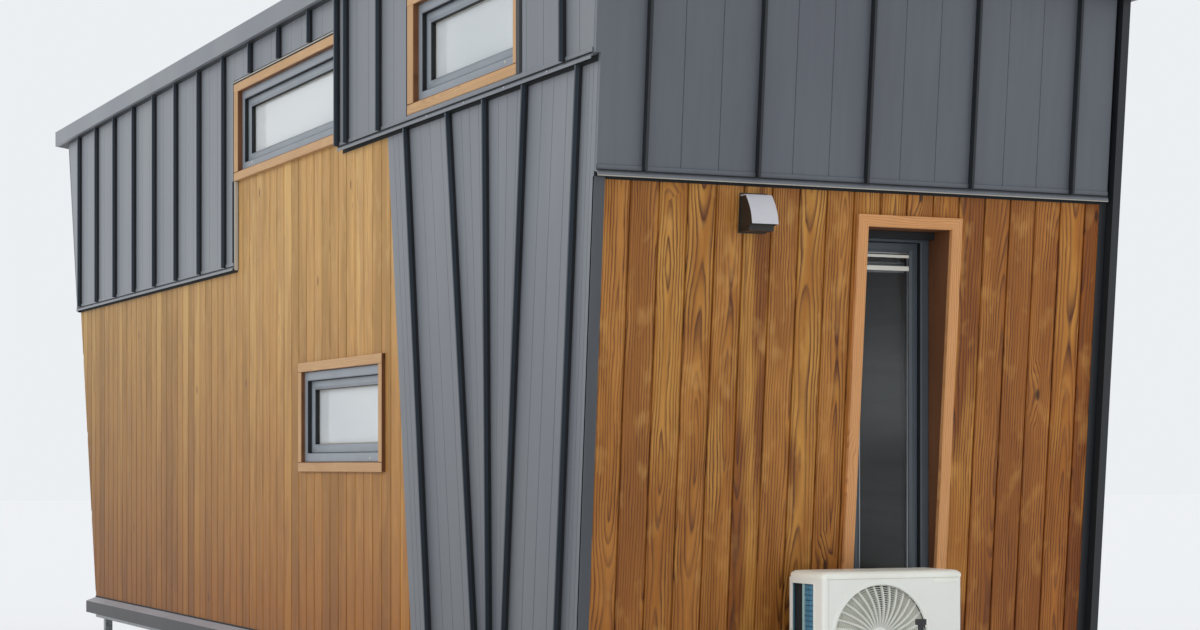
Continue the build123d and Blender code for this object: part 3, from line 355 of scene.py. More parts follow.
def moulded(name, colour, rough, pebble=0.0004, pebbleScale=1400.0, metallic=0.0, shade=0.9):
    # A smooth painted or moulded skin: faint pebble from the mould or spray, and a little uneven tone
    material, tree, shader = newMaterial(name, colour)
    place = addNode(tree, "TexCoord", out="Object")
    pebbles = addNode(tree, "TexNoise", {"Vector": place, "Scale": pebbleScale, "Detail": 2.0}, out="Fac")
    cloud = addNode(tree, "TexNoise", {"Vector": place, "Scale": 6.0, "Detail": 4.0}, out="Fac")
    tint = addNode(tree, "ValToRGB", {0: cloud}, ramp=[(0.3, shade), (0.65, 1.0)])
    mixed = addNode(tree, "Mix", {"Factor": 1.0, "A": colour, "B": tint}, **times)
    tree.links.new(mixed, shader.inputs["Base Color"])
    bump = addNode(tree, "Bump", {"Height": pebbles, "Strength": 0.2, "Distance": pebble})
    tree.links.new(bump, shader.inputs["Normal"])
    shader.inputs["Roughness"].default_value = rough
    shader.inputs["Metallic"].default_value = metallic
    return material


def plywood(name, light, dark, eave=None):
    # Birch plywood lining: a pale face with faint long figure; outside the walls the same deck is dark grey,
    # painted shade under the eaves
    material, tree, shader = newMaterial(name, light)
    place = addNode(tree, "TexCoord", out="Object")
    long = addNode(tree, "VectorMath", {0: place, 1: (1.2, 14.0, 14.0)}, operation="MULTIPLY")
    settings = {"Vector": long, "Scale": 1.0, "Detail": 5.0, "Distortion": 0.6}
    figure = addNode(tree, "TexNoise", settings, out="Fac")
    colour = addNode(tree, "ValToRGB", {0: figure}, ramp=[(0.3, dark), (0.65, light)])
    if eave:          # past the walls' reach or half width
        inside = addNode(tree, "VectorMath", {0: place, 1: (0.4, 0, 0)}, operation="ADD")
        shares = (1 / eave["reach"], 1 / eave["half"], 0)
        inside = addNode(tree, "VectorMath", {0: inside, 1: shares}, operation="MULTIPLY")
        inside = addNode(tree, "VectorMath", {0: inside}, operation="ABSOLUTE")
        inside = addNode(tree, "SeparateXYZ", {0: inside}, out=None)
        inside = addNode(tree, "Math", {0: inside[0], 1: inside[1]}, operation="MAXIMUM")
        outside = addNode(tree, "Math", {0: inside, 1: 1.0}, operation="GREATER_THAN")
        colour = addNode(tree, "Mix", {"Factor": outside, "A": colour, "B": eave["eaveShade"]}, **over)
    tree.links.new(colour, shader.inputs["Base Color"])
    shader.inputs["Roughness"].default_value = 0.55
    return material


def windowGlass(name, looks):
    # Float glass in a sealed double pane: sharp reflections over a body that lets part of the room show, with
    # the slow waves of the rolled sheet and soft clouds of a deeper shade. The body's colour and its clouds
    # are
    # painted: pale is a painted reflection of the sky, dark is the painted shade of the room behind.
    material, tree, shader = newMaterial(name, looks["body"])
    place = addNode(tree, "TexCoord", out="Object")
    waves = addNode(tree, "TexNoise", {"Vector": place, "Scale": 2.2, "Detail": 1.0}, out="Fac")
    bump = addNode(tree, "Bump", {"Height": waves, "Strength": 0.15, "Distance": 0.002})
    tree.links.new(bump, shader.inputs["Normal"])
    cloud = addNode(tree, "VectorMath", {0: place, 1: (0.5, 0.5, 1.4)}, operation="MULTIPLY")
    cloud = addNode(tree, "TexNoise", {"Vector": cloud, "Scale": 1.0, "Detail": 3.0}, out="Fac")
    body = addNode(tree, "ValToRGB", {0: cloud}, ramp=[(0.35, looks["shade"]), (0.62, looks["body"])])
    tree.links.new(body, shader.inputs["Base Color"])
    shader.inputs["Roughness"].default_value = 0.03
    shader.inputs["Alpha"].default_value = looks["cover"]
    shader.inputs["IOR"].default_value = 1.52
    return material


plainWood = dict(ringWidth=0.009, ringDepth=0.2, heartShift=0.2, wander=0.5, lateStrength=0.5,
                 fibreStrength=0.35, knotRings=3.0, sheen=0.1, streaks=0.2, gloss=0.4, weather=[])
woods = {          # ring widths and depths in metres; weather is an axis, its low and high place and the tint
    "side": dict(plainWood, tones=["#AF8648", "#C59858", "#D1A35F", "#BF945B", "#DCB16C"], latewood="#875C2A",
                 ringWidth=0.012, heartShift=0.12, wander=0.6, lateStrength=0.55, fibreStrength=0.45,
                 knots=0.03, knotRings=2.0, knotColour="#6E4826", sheen=0.15, paintedSheen="#D9BE88",
                 streaks=0.7, gloss=0.36,
                 weather=[("Z", 0.7, 2.6, "#C5A04C"), ("X", -4.2, 1.5, "#DCDAD0")]),
    "end": dict(plainWood, tones=["#A56827", "#C6863C", "#B27228", "#D49846", "#985B1C"], latewood="#56260A",
                ringWidth=0.0125, ringDepth=0.26, heartShift=0.14, wander=0.62, lateStrength=1.0,
                fibreStrength=0.55, knots=0.07, knotRings=3.2, knotColour="#3E200C", sheen=0.3,
                paintedSheen="#DDAA60", streaks=0.5,
                weather=[("Z", 0.6, 1.9, "#ECE0CE"), ("Y", 1.2, -0.2, "#FFF2E0")]),
    "casing": dict(plainWood, tones=["#BD9466", "#C8A073", "#B2885D"], latewood="#8C6136", lateStrength=0.45,
                   knots=0.2, knotColour="#6B4426", paintedSheen="#D8BC92"),
    "endCasing": dict(plainWood, tones=["#D8965C", "#E4A66C", "#CA8850"], latewood="#9A5C2C", knots=0.15,
                      knotColour="#7A4622", paintedSheen="#EBB98C"),
    # the returns' wood: darker, painted shade in the recesses
    "lining": dict(plainWood, tones=["#7A4E30", "#87593A", "#6E452A"], latewood="#4A2A16", ringWidth=0.01,
                   knots=0.1, knotColour="#3A2010", sheen=0.0, paintedSheen="#87593A"),
}
sideWood = oiledWood("heatTreatedPineSide", woods["side"])
endWood = oiledWood("heatTreatedPineEnd", woods["end"])
casingWood = oiledWood("planedPineCasing", woods["casing"])
endCasingWood = oiledWood("planedPineEndCasing", woods["endCasing"])
darkWoodPaintedShade = oiledWood("oiledPineReturnPaintedShade", woods["lining"])
coats = {          # the hex colours are the coat, its rain streaks, its dust and its cloudy patches
    "side": dict(coat="#878C91", streak="#83888D", dusty="#8B9095", rough=0.42, dentWidth=0.45,
                 dentDepth=0.004, trayShade=0.93, footShade=0.58, nearShade="#E4E4E5", patch="#F0EFF4"),
    # the ends' coat: the sides' steel made darker, painted shade for the ends that face away from the lamp
    "end": dict(coat="#666B72", streak="#63686F", dusty="#696E75", rough=0.45, dentWidth=0.45,
                dentDepth=0.003, trayShade=0.93, footShade=0.9, patch="#F0EEF2"),
    # the side seams' coat: the sheet's steel darkened, painted shade on their shaded sides
    "fold": dict(coat="#38414B", streak="#343D46", dusty="#3E4852", rough=0.34, dentWidth=0.3,
                 dentDepth=0.001, trayShade=0.9, footShade=0.8, patch="#E8EAEE"),
    # the near corner trim: the ends' steel made darker, painted shade under the drip
    "corner": dict(coat="#505459", streak="#4C5055", dusty="#54585D", rough=0.45, dentWidth=0.4,
                   dentDepth=0.001, trayShade=0.95, footShade=0.9, patch="#F0F0F2"),
    # the end seams' coat: the sheet's steel near black, painted shade
    "seamPaintedShade": dict(coat="#24282C", streak="#202327", dusty="#2A2E32", rough=0.45, dentWidth=0.4,
                      dentDepth=0.001, trayShade=0.95, footShade=0.95, patch="#F2F2F2"),
    # the beam's top and face: one coat, lighter on top as painted light and darker on the face as painted
    # shade
    "beamTopPaintedLight": dict(coat="#A3A1A8", streak="#97959C", dusty="#ABA9AF", rough=0.5, dentWidth=0.6,
                    dentDepth=0.001, trayShade=1.0, footShade=0.95, patch="#EDECEA"),
    "beam": dict(coat="#3E3E42", streak="#38383B", dusty="#454548", rough=0.5, dentWidth=0.6, dentDepth=0.001,
                 trayShade=1.0, footShade=0.9, patch="#EDECEA"),
}
seamSheet = coatedSheet("coatedSteelSheet", coats["side"])
endSheetPaintedShade = coatedSheet("coatedSteelEndPaintedShade", coats["end"])
seamBluePaintedShade = coatedSheet("foldedSeamSteelPaintedShade", coats["fold"])
cornerCoatPaintedShade = coatedSheet("cornerTrimSteelPaintedShade", coats["corner"])
seamDarkPaintedShade = coatedSheet("endSeamSteelPaintedShade", coats["seamPaintedShade"])
beamTopPaintedLight = coatedSheet("powderCoatedBeamTop", coats["beamTopPaintedLight"])
beamSheetPaintedShade = coatedSheet("powderCoatedBeam", coats["beam"])
galvanised = zincSheet("hotDipGalvanised")
frameGrey = moulded("mouldedFrameGrey", "#848B93", 0.35)
# the frames' grey made darker: painted shade in the recess
frameShade = moulded("mouldedFrameEndPaintedShade", "#4F5860", 0.35)
# black rubber for the unit's feet, and painted shade on the frames' returns and at the tall window's head
gasketAndShade = moulded("rubberGasketAndPaintedShade", "#1E2124", 0.7, pebble=0.0002)
# pale body: painted reflection of the sky; dark body: painted shade of the room
glass = windowGlass("doubleGlazing", dict(body="#EFF3F4", shade="#D9DFE2", cover=0.6))
shadedGlass = windowGlass("doubleGlazingShaded", dict(body="#7A8083", shade="#3A4044", cover=0.26))
blindWhite = moulded("enamelledSlats", "#E6E7E7", 0.4)
hoodGrey = moulded("mouldedHoodGrey", "#D6D5DA", 0.38)
# whiter than the unit's enamel: painted light on the unit's lid, the guard's rings and the blind's rails
brightEnamelPaintedLight = moulded("brightEnamelPaintedLight", "#FFFFF3", 0.3)
hoodDark = moulded("mouldedHoodShade", "#2B2822", 0.5)
unitWhite = moulded("whiteEnamelSteel", "#F7F8F0", 0.32, pebble=0.0003, shade=0.97)
guardGrey = moulded("coatedGuardWire", "#E4E4DA", 0.35)
guardShade = moulded("mouldedFanWell", "#2A2C2E", 0.6)
unitGreyAndShade = moulded("mouldedFanGreyAndPaintedShade", "#6E7170", 0.45)
# near black: dark joints, and painted shade in gaps, under the seams' folds and below the drips
darkJointAndShade = moulded("darkJointAndPaintedShade", "#1B1D20", 0.8)
coilBlue = moulded("coatedFins", "#5A93AE", 0.35, metallic=0.2)
coilWire = moulded("coatedCoilWire", "#A5CCCF", 0.35)
coilShade = moulded("coatedCoilShade", "#2F5A72", 0.4)
# pale coat: the worn head flashings and the spacers, and the painted highlight on the drips' lips
paleEdgeAndHighlight = moulded("wornCoatEdgeAndHighlight", "#B7B2A8", 0.45)
paleStrip = moulded("palePaintedStrip", "#CFC8BA", 0.5)
tyreRubber = moulded("mouldedTyreRubber", "#26272A", 0.75, pebble=0.0012, pebbleScale=500.0)
wheelSilver = moulded("silverLacquerSteel", "#A9ABAE", 0.34, metallic=0.7)
castBlack = moulded("coatedCasting", "#2E3033", 0.55, pebble=0.0015, pebbleScale=600.0)
birchPly = plywood("birchPlywood", "#DCC7A2", "#CDB48B")
deckPly = plywood("roofDeckPlywood", "#DCC7A2", "#CDB48B", eave=dict(reach=4.45, half=1.15, eaveShade="#2B2E32"))
floorPly = plywood("filmFacedPlywood", "#8A6B4C", "#6F543A")
screwSteel = moulded("zincPlatedScrew", "#B9BBBD", 0.3, metallic=0.9)
print("materials made")

# The CAD nodes' finishes
carried = {
    galvanised: ["chassis_rails", "cross_members", "axles", "corner_jacks", "drawbar_arms", "jockey_wheel",
                 "unit_bars"],
    beamSheetPaintedShade: ["edge_beams"], castBlack: ["coupling", "jockey_handle"], floorPly: ["floor_deck"],
    birchPly: ["wall_left", "wall_right", "wall_near", "wall_rear"], deckPly: ["roof_deck"],
    seamSheet: ["roof_sheet", "roof_fascias", "drip_flashings", "metal_low_band", "metal_high_band",
                "metal_fan", "metal_near", "metal_rear", "metal_right"],
    seamDarkPaintedShade: ["near_corner_fin"], frameShade: ["door_leaf"],
    glass: ["panes_left", "panes_right", "door_glass"],
    shadedGlass: ["pane_tall"], blindWhite: ["blinds"], hoodGrey: ["vent_hood"], tyreRubber: ["tyres"],
    wheelSilver: ["wheel_rims"], unitWhite: ["unit_housing", "unit_grille"], unitGreyAndShade: ["unit_fan"],
}
for material, names in carried.items():
    for name in names:
        nodes[name].data.materials.clear()
        nodes[name].data.materials.append(material)

# Roof and cladding lines, all in metres
roof = {"high": 3.994, "low": 3.604, "half": 1.278, "build": 0.105, "fascia": 0.106}
roof["slope"] = (roof["high"] - roof["low"]) / (2 * roof["half"])
windows = {          # each middle's distance back and height, then the casing's width and height
    "clerestory": (3.703, 3.423, 1.824, 0.559), "upper": (1.153, 3.423, 1.318, 0.559),
    "low": (2.817, 1.755, 1.281, 0.578), "rightUpper": (4.9, 3.11, 1.318, 0.44),
    "rightLow": (6.3, 1.755, 1.281, 0.578),
}
zones = {"lowBand": 2.65, "highBand": 3.114, "step": 4.618, "highStart": 2.786, "fanTop": 2.144,
         "fanFoot": 1.81, "nearBand": 2.658, "rearBand": 2.65, "rightBand": 2.85, "rightFoot": 1.62,
         "rightCorner": 0.045}
boardLooks = {"pitch": 0.1275, "endPitch": 0.1285, "gap": 0.008, "groove": 0.011, "ease": 0.003,
              "sideGap": 0.004, "sideEase": 0.005, "thick": 0.045, "endProud": 0.0015, "rows": 18}
panLooks = {"pitch": 0.522, "endPitch": 0.51, "groove": 0.003, "grooveHalf": 0.0025, "level": 0.022,
            "thick": 0.02, "first": 8.437, "count": 17}
seamLooks = {"height": 0.032, "web": 0.003, "fold": 0.006, "foldDepth": 0.018, "round": 0.002,
             "foot": 0.004, "windowFoot": 0.012, "topGap": 0.0005}
fan = {"heads": (1.86, 1.327, 0.898, 0.464, -0.066), "feet": (1.555, 1.0, 0.855, 0.708, 0.172),
       "below": 0.026, "lap": 0.02, "creases": (0.28, 0.5, 0.75), "creaseHalf": 0.008}
shellHalf = halfWidth - boardLooks["thick"]
metalHalf = halfWidth + panLooks["level"]


def underRoof(y):
    # the roof deck's underside falls evenly from the -Y eave
    return roof["high"] - (y + roof["half"]) * roof["slope"] - roof["build"]


def windowEdges(name):
    # the casing's two ends along the wall, its foot and its head
    middle, height, width, rise = windows[name]
    return back(middle) - width / 2, back(middle) + width / 2, height - rise / 2, height + rise / 2


def splitBays(bays, holes):
    # each hole (u0, u1, low, high) splits the level bays that it crosses into the parts round it
    for h0, h1, hLow, hHigh in holes:
        parts = []
        for u0, u1, l0, l1, t0, t1 in bays:
            if h1 <= u0 or h0 >= u1 or l0 != l1 or t0 != t1 or hLow >= t0 or hHigh <= l0:
                parts.append((u0, u1, l0, l1, t0, t1))
                continue
            a, b = max(u0, h0), min(u1, h1)
            rest = [(u0, h0, l0, l0, t0, t0), (h1, u1, l0, l0, t0, t0), (a, b, l0, l0, hLow, hLow),
                    (a, b, hHigh, hHigh, t0, t0)]
            parts += [bay for bay in rest if bay[1] > bay[0] and bay[4] > bay[2]]
        bays = parts
    return bays


def splitAt(bays, places):
    # cuts the bays at the places, keeping their slanted lines straight
    for place in places:
        parts = []
        for u0, u1, l0, l1, t0, t1 in bays:
            share = (place - u0) / (u1 - u0)
            low, top = l0 + share * (l1 - l0), t0 + share * (t1 - t0)
            halves = [(u0, place, l0, low, t0, top), (place, u1, low, l1, top, t1)]
            parts += halves if u0 < place < u1 else [(u0, u1, l0, l1, t0, t1)]
        bays = parts
    return bays


def slabs(wall, uLow, uHigh, low, high, out, thick, grainAcross, seeds, tones):
    # closed upright slabs, one a row: each column joins its low and high point, the front lies at out,
    # and the back lies one thickness behind the front's flat level
    inner = np.broadcast_to(out.max() - thick, out.shape)
    corners = (uLow, low, out), (uHigh, high, out), (uHigh, high, inner), (uLow, low, inner)
    points = np.stack([onWall(wall, *corner) for corner in corners], 1)
    heights = np.stack([low, high, high, low], 1)
    grain = np.stack(np.broadcast_arrays(grainAcross[:, None, :], heights, seeds[:, None, None]), -1)
    columns = out.shape[1]
    ends = np.array([[0, 1, 2, 3], [0, 3, 2, 1]]) * columns
    ends[1] += columns - 1
    one = np.vstack([bandFaces(4, columns, closedRows=True), ends])
    faces = (one[None] + (np.arange(len(out)) * 4 * columns)[:, None, None]).reshape(-1, 4)
    return dict(points=points.reshape(-1, 3), faces=faces.tolist(), grain=grain.reshape(-1, 3),
                tone=np.repeat(tones, 4 * columns))


def strips(wall, bays, origin, places, depths, level=0.0, thick=boardLooks["thick"]):
    # upright strips side by side over a field of bays (u0, u1, low at u0, low at u1, high at u0, high at u1).
    # A strip's section is its depth below the level at each place across the pitch; a bay's slanted lower or
    # upper line cuts the strips at a slant.
    pitch = places[-1]
    pieces = np.array([(*bay, n) for bay in bays
                       for n in range(int((bay[0] - origin) // pitch), int(-((origin - bay[1]) // pitch)))])
    start = origin + pieces[:, 6] * pitch
    u = np.clip(start[:, None] + np.array(places)[None, :], pieces[:, :1], pieces[:, 1:2])
    keep = (u[:, -1] - u[:, 0]) > 1e-5
    pieces, start, u = pieces[keep], start[keep], u[keep]
    out = level - np.interp((u - start[:, None]).ravel(), places, depths).reshape(u.shape)
    share = (u - pieces[:, :1]) / (pieces[:, 1:2] - pieces[:, :1])
    low = pieces[:, 2:3] + share * (pieces[:, 3:4] - pieces[:, 2:3])
    high = pieces[:, 4:5] + share * (pieces[:, 5:6] - pieces[:, 4:5])
    number = pieces[:, 6].astype(int) + 200          # never below nought, so that it can pick a tone
    tones = np.random.default_rng(11).uniform(0, 1, 400)[number]
    return slabs(wall, u, u, low, high, out, thick, u - start[:, None] - pitch / 2, number * 3.37 % 41, tones)


def boardSection(pitch, gap, ease):
    # face with eased edges, then the tongue that lies deeper in the joint
    face, groove = pitch - gap, boardLooks["groove"]
    return [0, ease, face - ease, face, face + 0.0004, pitch], [ease, 0, 0, ease, groove, groove]


def panSection(pitch):
    # a tray of sheet with two shallow lengthwise creases at its thirds
    half, deep = panLooks["grooveHalf"], panLooks["groove"]
    places = [pitch * third / 3 + step for third in (1, 2) for step in (-half, 0, half)]
    return [0, *places, pitch], [0, 0, deep, 0, 0, deep, 0, 0]


def seam(wall, foot, head, level):
    # a standing seam: its web and folded half, carried from foot to head, then a dark strip below the fold,
    # painted shade where the fold hides the web
    w, h = seamLooks["web"], level + seamLooks["height"]
    under, edge, r = h - seamLooks["foldDepth"], w + seamLooks["fold"], seamLooks["round"]
    folded = [(w, level), (-w, level), (-w, under), (-edge, under), (-edge, h - r), (-edge + r, h),
              (w - r, h), (w, h - r)]
    joint = [(-w, level), (-edge + 0.001, level), (-edge + 0.001, under), (-w, under)]
    return stick(wall, foot, head, folded), stick(wall, foot, head, joint)


leftTop, rightTop = underRoof(-metalHalf), underRoof(metalHalf)
seamPlaces = back(panLooks["first"]) + panLooks["pitch"] * np.arange(panLooks["count"])

# Boards
lowBand, highBand, rightBand = zones["lowBand"], zones["highBand"], zones["rightBand"]
step, highStart, rightFoot = back(zones["step"]), back(zones["highStart"]), back(zones["rightFoot"])
fanTop, fanFoot = back(zones["fanTop"]), back(zones["fanFoot"])
farTop, farTopRight = rearAt(lowBand), rearAt(rightBand)
longEdges, upperEdges = windowEdges("clerestory"), windowEdges("upper")
leftBays = splitBays([
    (farTop, rearX, lowBand, baseZ, lowBand, lowBand), (rearX, step, baseZ, baseZ, lowBand, lowBand),
    (step, highStart, baseZ, baseZ, longEdges[2], longEdges[2]),
    (highStart, fanTop, baseZ, baseZ, highBand, highBand), (fanTop, fanFoot, baseZ, baseZ, highBand, baseZ),
], [windowEdges("low")])
door = {"back": 3.3, "width": 0.96, "height": 2.09, "sill": 0.04}
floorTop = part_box("floor_deck")[1].z
doorHole = (back(door["back"]) - door["width"] / 2, back(door["back"]) + door["width"] / 2, floorTop,
            floorTop + door["height"])
rightBays = splitBays([
    (farTopRight, rearX, rightBand, baseZ, rightBand, rightBand),
    (rearX, rightFoot, baseZ, baseZ, rightBand, rightBand),
], [windowEdges("rightLow"), doorHole])
tall = {"width": 0.507, "foot": 0.78, "head": 2.537, "middle": 0.24, "jamb": 0.049, "proud": 0.019,
        "trim": 0.022, "frameAhead": 0.004, "frameDepth": 0.07, "boardEdge": 1.198, "firstJoint": 1.127,
        "ease": 0.002}
tallHalf, nearLine, rearLine = tall["width"] / 2, zones["nearBand"], zones["rearBand"]
tallHole = (tall["middle"] - tallHalf, tall["middle"] + tallHalf, tall["foot"], tall["head"])
nearBays = splitBays([(-shellHalf, tall["boardEdge"], baseZ, baseZ, nearLine, nearLine)], [tallHole])
rearBays = [(-shellHalf, shellHalf, baseZ, baseZ, rearLine, rearLine)]
endOrigin = tall["firstJoint"] + boardLooks["gap"] / 2 - boardLooks["rows"] * boardLooks["endPitch"]
sideSection = boardSection(boardLooks["pitch"], boardLooks["sideGap"], boardLooks["sideEase"])
endSection = boardSection(boardLooks["endPitch"], boardLooks["gap"], boardLooks["ease"])
for wall, bays, origin, section, level, wood, slot in (
        ("left", leftBays, rearX, sideSection, 0.0, sideWood, "side_boards"),
        ("right", rightBays, rearX, sideSection, 0.0, sideWood, "side_boards"),
        ("near", nearBays, endOrigin, endSection, boardLooks["endProud"], endWood, "end_boards"),
        ("rear", rearBays, -shellHalf, endSection, 0.0, endWood, "end_boards")):
    boards = strips(wall, bays, origin, *section, level=level)
    makePiece(f"boards{wall.title()}", [boards], wood, [f"boards_{wall}"])
print("boards made")

# Sheet metal: trays, then the seams that stand between them
lowBays = [(rearAt(leftTop), farTop, leftTop, lowBand, leftTop, leftTop),
           (farTop, step, lowBand, lowBand, leftTop, leftTop),
           (step, highStart, longEdges[3], longEdges[3], leftTop, leftTop)]
highBays = splitBays([(highStart, nearAt(highBand), highBand, highBand, leftTop, leftTop)], [upperEdges])
highBays.append((nearAt(highBand), nearAt(leftTop), highBand, leftTop, leftTop, leftTop))
cornerX = nearX - zones["rightCorner"]
rightField = splitBays([
    (rearAt(rightTop), farTopRight, rightTop, rightBand, rightTop, rightTop),
    (farTopRight, rightFoot, rightBand, rightBand, rightTop, rightTop),
    (rightFoot, cornerX, baseZ, baseZ, rightTop, rightTop),
], [windowEdges("rightUpper")])
rightField.append((cornerX, nearAt(rightTop, -zones["rightCorner"]), baseZ, rightTop, rightTop, rightTop))


def endBay(y0, y1, z):
    # a bay of an end wall's trays, from one level up to the roof's underside
    return y0, y1, z, z, underRoof(y0), underRoof(y1)


def fanLine(number, z):
    # the fan's lines run straight from their foot to their head; number 0 is the boards' slanted edge
    foot, head = ((zones["fanFoot"], zones["fanTop"]), *zip(fan["feet"], fan["heads"]))[number]
    return back(foot + (head - foot) * (z - baseZ) / (highBand - baseZ))


def fanTrays(low, high):
    # trays between slanted seams: every crease keeps its share of the width from foot to head
    count, half, creases = len(fan["feet"]) + 1, fan["creaseHalf"], fan["creases"]
    footLines, headLines = (np.array([*[fanLine(n, z) for n in range(count)], nearAt(z)])
                            for z in (low, high))
    shares = np.array([0] + [middle + shift for middle in creases for shift in (-half, 0, half)] + [1])
    dips = np.array([0] + [0, panLooks["groove"], 0] * len(creases) + [0])
    uLow, uHigh = (lines[:-1, None] + np.diff(lines)[:, None] * shares for lines in (footLines, headLines))
    shape = uLow.shape
    levels = np.full(shape, low), np.full(shape, high), np.broadcast_to(-dips, shape)
    return slabs("left", uLow, uHigh, *levels, panLooks["thick"], uLow, np.arange(float(count)),
                 np.linspace(0.2, 0.8, count))


def seamField(wall, runs, level, coat, name):
    # one field's seams and the painted shade below their folds, as two pieces
    made = [seam(wall, foot, head, level) for foot, head in runs]
    makePiece(f"seams{name}", [part for part, joint in made], coat)
    makePiece(f"seamUnderShades{name}", [joint for part, joint in made], darkJointAndShade)


def trayParts(*fields):
    # the trays of each field, given as its wall, bays, first line and section
    return [strips(*field, level=panLooks["level"], thick=panLooks["thick"]) for field in fields]


fanHead = highBand - fan["below"]
sideTray, endTray = panSection(panLooks["pitch"]), panSection(panLooks["endPitch"])
plainTray = ([0, panLooks["endPitch"]], [0, 0])
outerSeam = 2 * panLooks["endPitch"]
# the near band ends higher on the metal's return at the corner, and its outer trays have no creases
nearBand = splitAt([endBay(-metalHalf, -halfWidth, highBand), endBay(-halfWidth, halfWidth, nearLine)],
                   (-outerSeam, outerSeam))
rearBand = [endBay(-metalHalf, metalHalf, rearLine)]
trays = {
    "LowBand": ("metal_low_band", seamSheet, trayParts(("left", lowBays, seamPlaces[0], *sideTray))),
    "HighBand": ("metal_high_band", seamSheet, trayParts(("left", highBays, seamPlaces[0], *sideTray))),
    "Fan": ("metal_fan", seamSheet, [fanTrays(baseZ, fanHead + fan["lap"])]),
    "Right": ("metal_right", seamSheet, trayParts(("right", rightField, seamPlaces[0], *sideTray))),
    "Near": ("metal_near", endSheetPaintedShade, trayParts(("near", nearBand[:2] + nearBand[-1:], 0.0, *plainTray),
                                               ("near", nearBand[2:-1], 0.0, *endTray))),
    "Rear": ("metal_rear", endSheetPaintedShade, trayParts(("rear", rearBand, 0.0, *endTray))),
}
for name, (replaced, sheet, parts) in trays.items():
    makePiece(f"trays{name}", parts, sheet, [replaced])


def sideRuns(places, band, edges, margin, top):
    # seams stand on the band's flashing, or over a window on its head flashing
    foot, over = band + seamLooks["foot"], edges[3] + seamLooks["windowFoot"]
    return [((u, over if edges[0] - margin <= u <= edges[1] + margin else foot),
             (u, top - seamLooks["topGap"])) for u in places]


# beside the upper window two extra seams stand close to its jambs, and the even ones keep clear of them
jambSeams, clear = (back(2.645), back(0.046)), 0.255
lowPlaces = [u for u in seamPlaces if u < highStart - 0.01]
lowRuns = sideRuns(lowPlaces, lowBand, (step, highStart, 0, longEdges[3]), 0, leftTop)
highPlaces = [u for u in seamPlaces if jambSeams[0] + clear < u < jambSeams[1] - clear]
highRuns = sideRuns([highStart + 0.003, *jambSeams, *highPlaces], highBand, upperEdges, 0, leftTop)
rightRuns = sideRuns(seamPlaces, rightBand, windowEdges("rightUpper"), 0.01, rightTop)
rightRuns = [((foot[0], baseZ) if foot[0] > rightFoot else foot, head) for foot, head in rightRuns]
fanRuns = [[(fanLine(n, z), z) for z in (baseZ, fanHead)] for n in range(1, len(fan["feet"]) + 1)]
endSeams = panLooks["endPitch"] * np.arange(-2, 3)
tops = roof["high"] - roof["fascia"] - (endSeams + roof["half"]) * roof["slope"] - 0.032
nearRuns, rearRuns = ([((y, zones[band] + seamLooks["foot"]), (y, top)) for y, top in zip(endSeams, tops)]
                      for band in ("nearBand", "rearBand"))
seamField("left", lowRuns + highRuns, panLooks["level"], seamBluePaintedShade, "Left")
seamField("left", fanRuns, 0.0, seamBluePaintedShade, "Fan")
seamField("right", rightRuns, panLooks["level"], seamBluePaintedShade, "Right")
seamField("near", nearRuns, panLooks["level"], seamDarkPaintedShade, "Near")
seamField("rear", rearRuns, panLooks["level"], seamDarkPaintedShade, "Rear")

# Above each drip flashing the sheet laps over it down to a dark joint, and below it lies a dark strip, the
# painted shadow of the drip; those of the end walls have a pale lip, a painted highlight. A flashing is its
# wall, ends, height, joint's width and the lap's sheet.
drip = {"lap": ((0.0035, 0.0226), (0.02, 0.0268)), "lapEase": 0.0006, "joint": (0.02, 0.0346),
        "highlightBelow": 0.0222, "lip": ((0, 0.0035), (0.03, 0.0348)), "shadowBelow": 0.031,
        "gap": ((0, 0.03), (-0.002, 0.0025))}
flashings = [("left", (rearAt(2.655), step), lowBand, 0.0015, seamSheet),
             ("left", (highStart, nearAt(3.11)), highBand, 0.003, seamSheet),
             ("right", (rearAt(2.855), rightFoot), rightBand, 0.0015, seamSheet),
             ("near", (-halfWidth, halfWidth), nearLine, 0.0035, endSheetPaintedShade),
             ("rear", (-metalHalf, metalHalf), rearLine, 0.0035, endSheetPaintedShade)]
for number, (wall, ends, z, width, sheet) in enumerate(flashings):
    makePiece(f"lap{number}", [rail(wall, ends, z, box(*drip["lap"], drip["lapEase"]))], sheet)
joints = [rail(wall, ends, z, box((0.0003, width), drip["joint"]))
          for wall, ends, z, width, sheet in flashings]
highlights = [rail(wall, ends, z - drip["highlightBelow"], box(*drip["lip"])) for wall, ends, z, *rest in flashings[3:]]
dripShade = [rail(wall, ends, z - drip["shadowBelow"], box(*drip["gap"])) for wall, ends, z, *rest in flashings]
makePiece("dripJoints", joints, darkJointAndShade)
makePiece("dripHighlights", highlights, paleEdgeAndHighlight)
makePiece("dripShadows", dripShade, darkJointAndShade)


def screwParts(places, radius, height=0.003):
    # round heads on the -Y side at each (u, z, out): the height falls with the square of the distance from
    # the middle, and a flat back lies 1 mm inside
    profile = [(-height * (1 - share ** 2), radius * share) for share in np.linspace(1, 0.02, 3)]
    profile += [(0.001, radius * 0.02), (0.001, radius)]
    return [lathe(profile, (u, -halfWidth - out, z), "y", 12) for u, z, out in places]


screws = {"backs": (1.54, 1.093, 0.646, 0.2), "below": 0.011, "out": 0.0345, "radius": 0.0045}
heads = [(back(distance), highBand - screws["below"], screws["out"]) for distance in screws["backs"]]
makePiece("screwHeads", screwParts(heads, screws["radius"]), screwSteel)

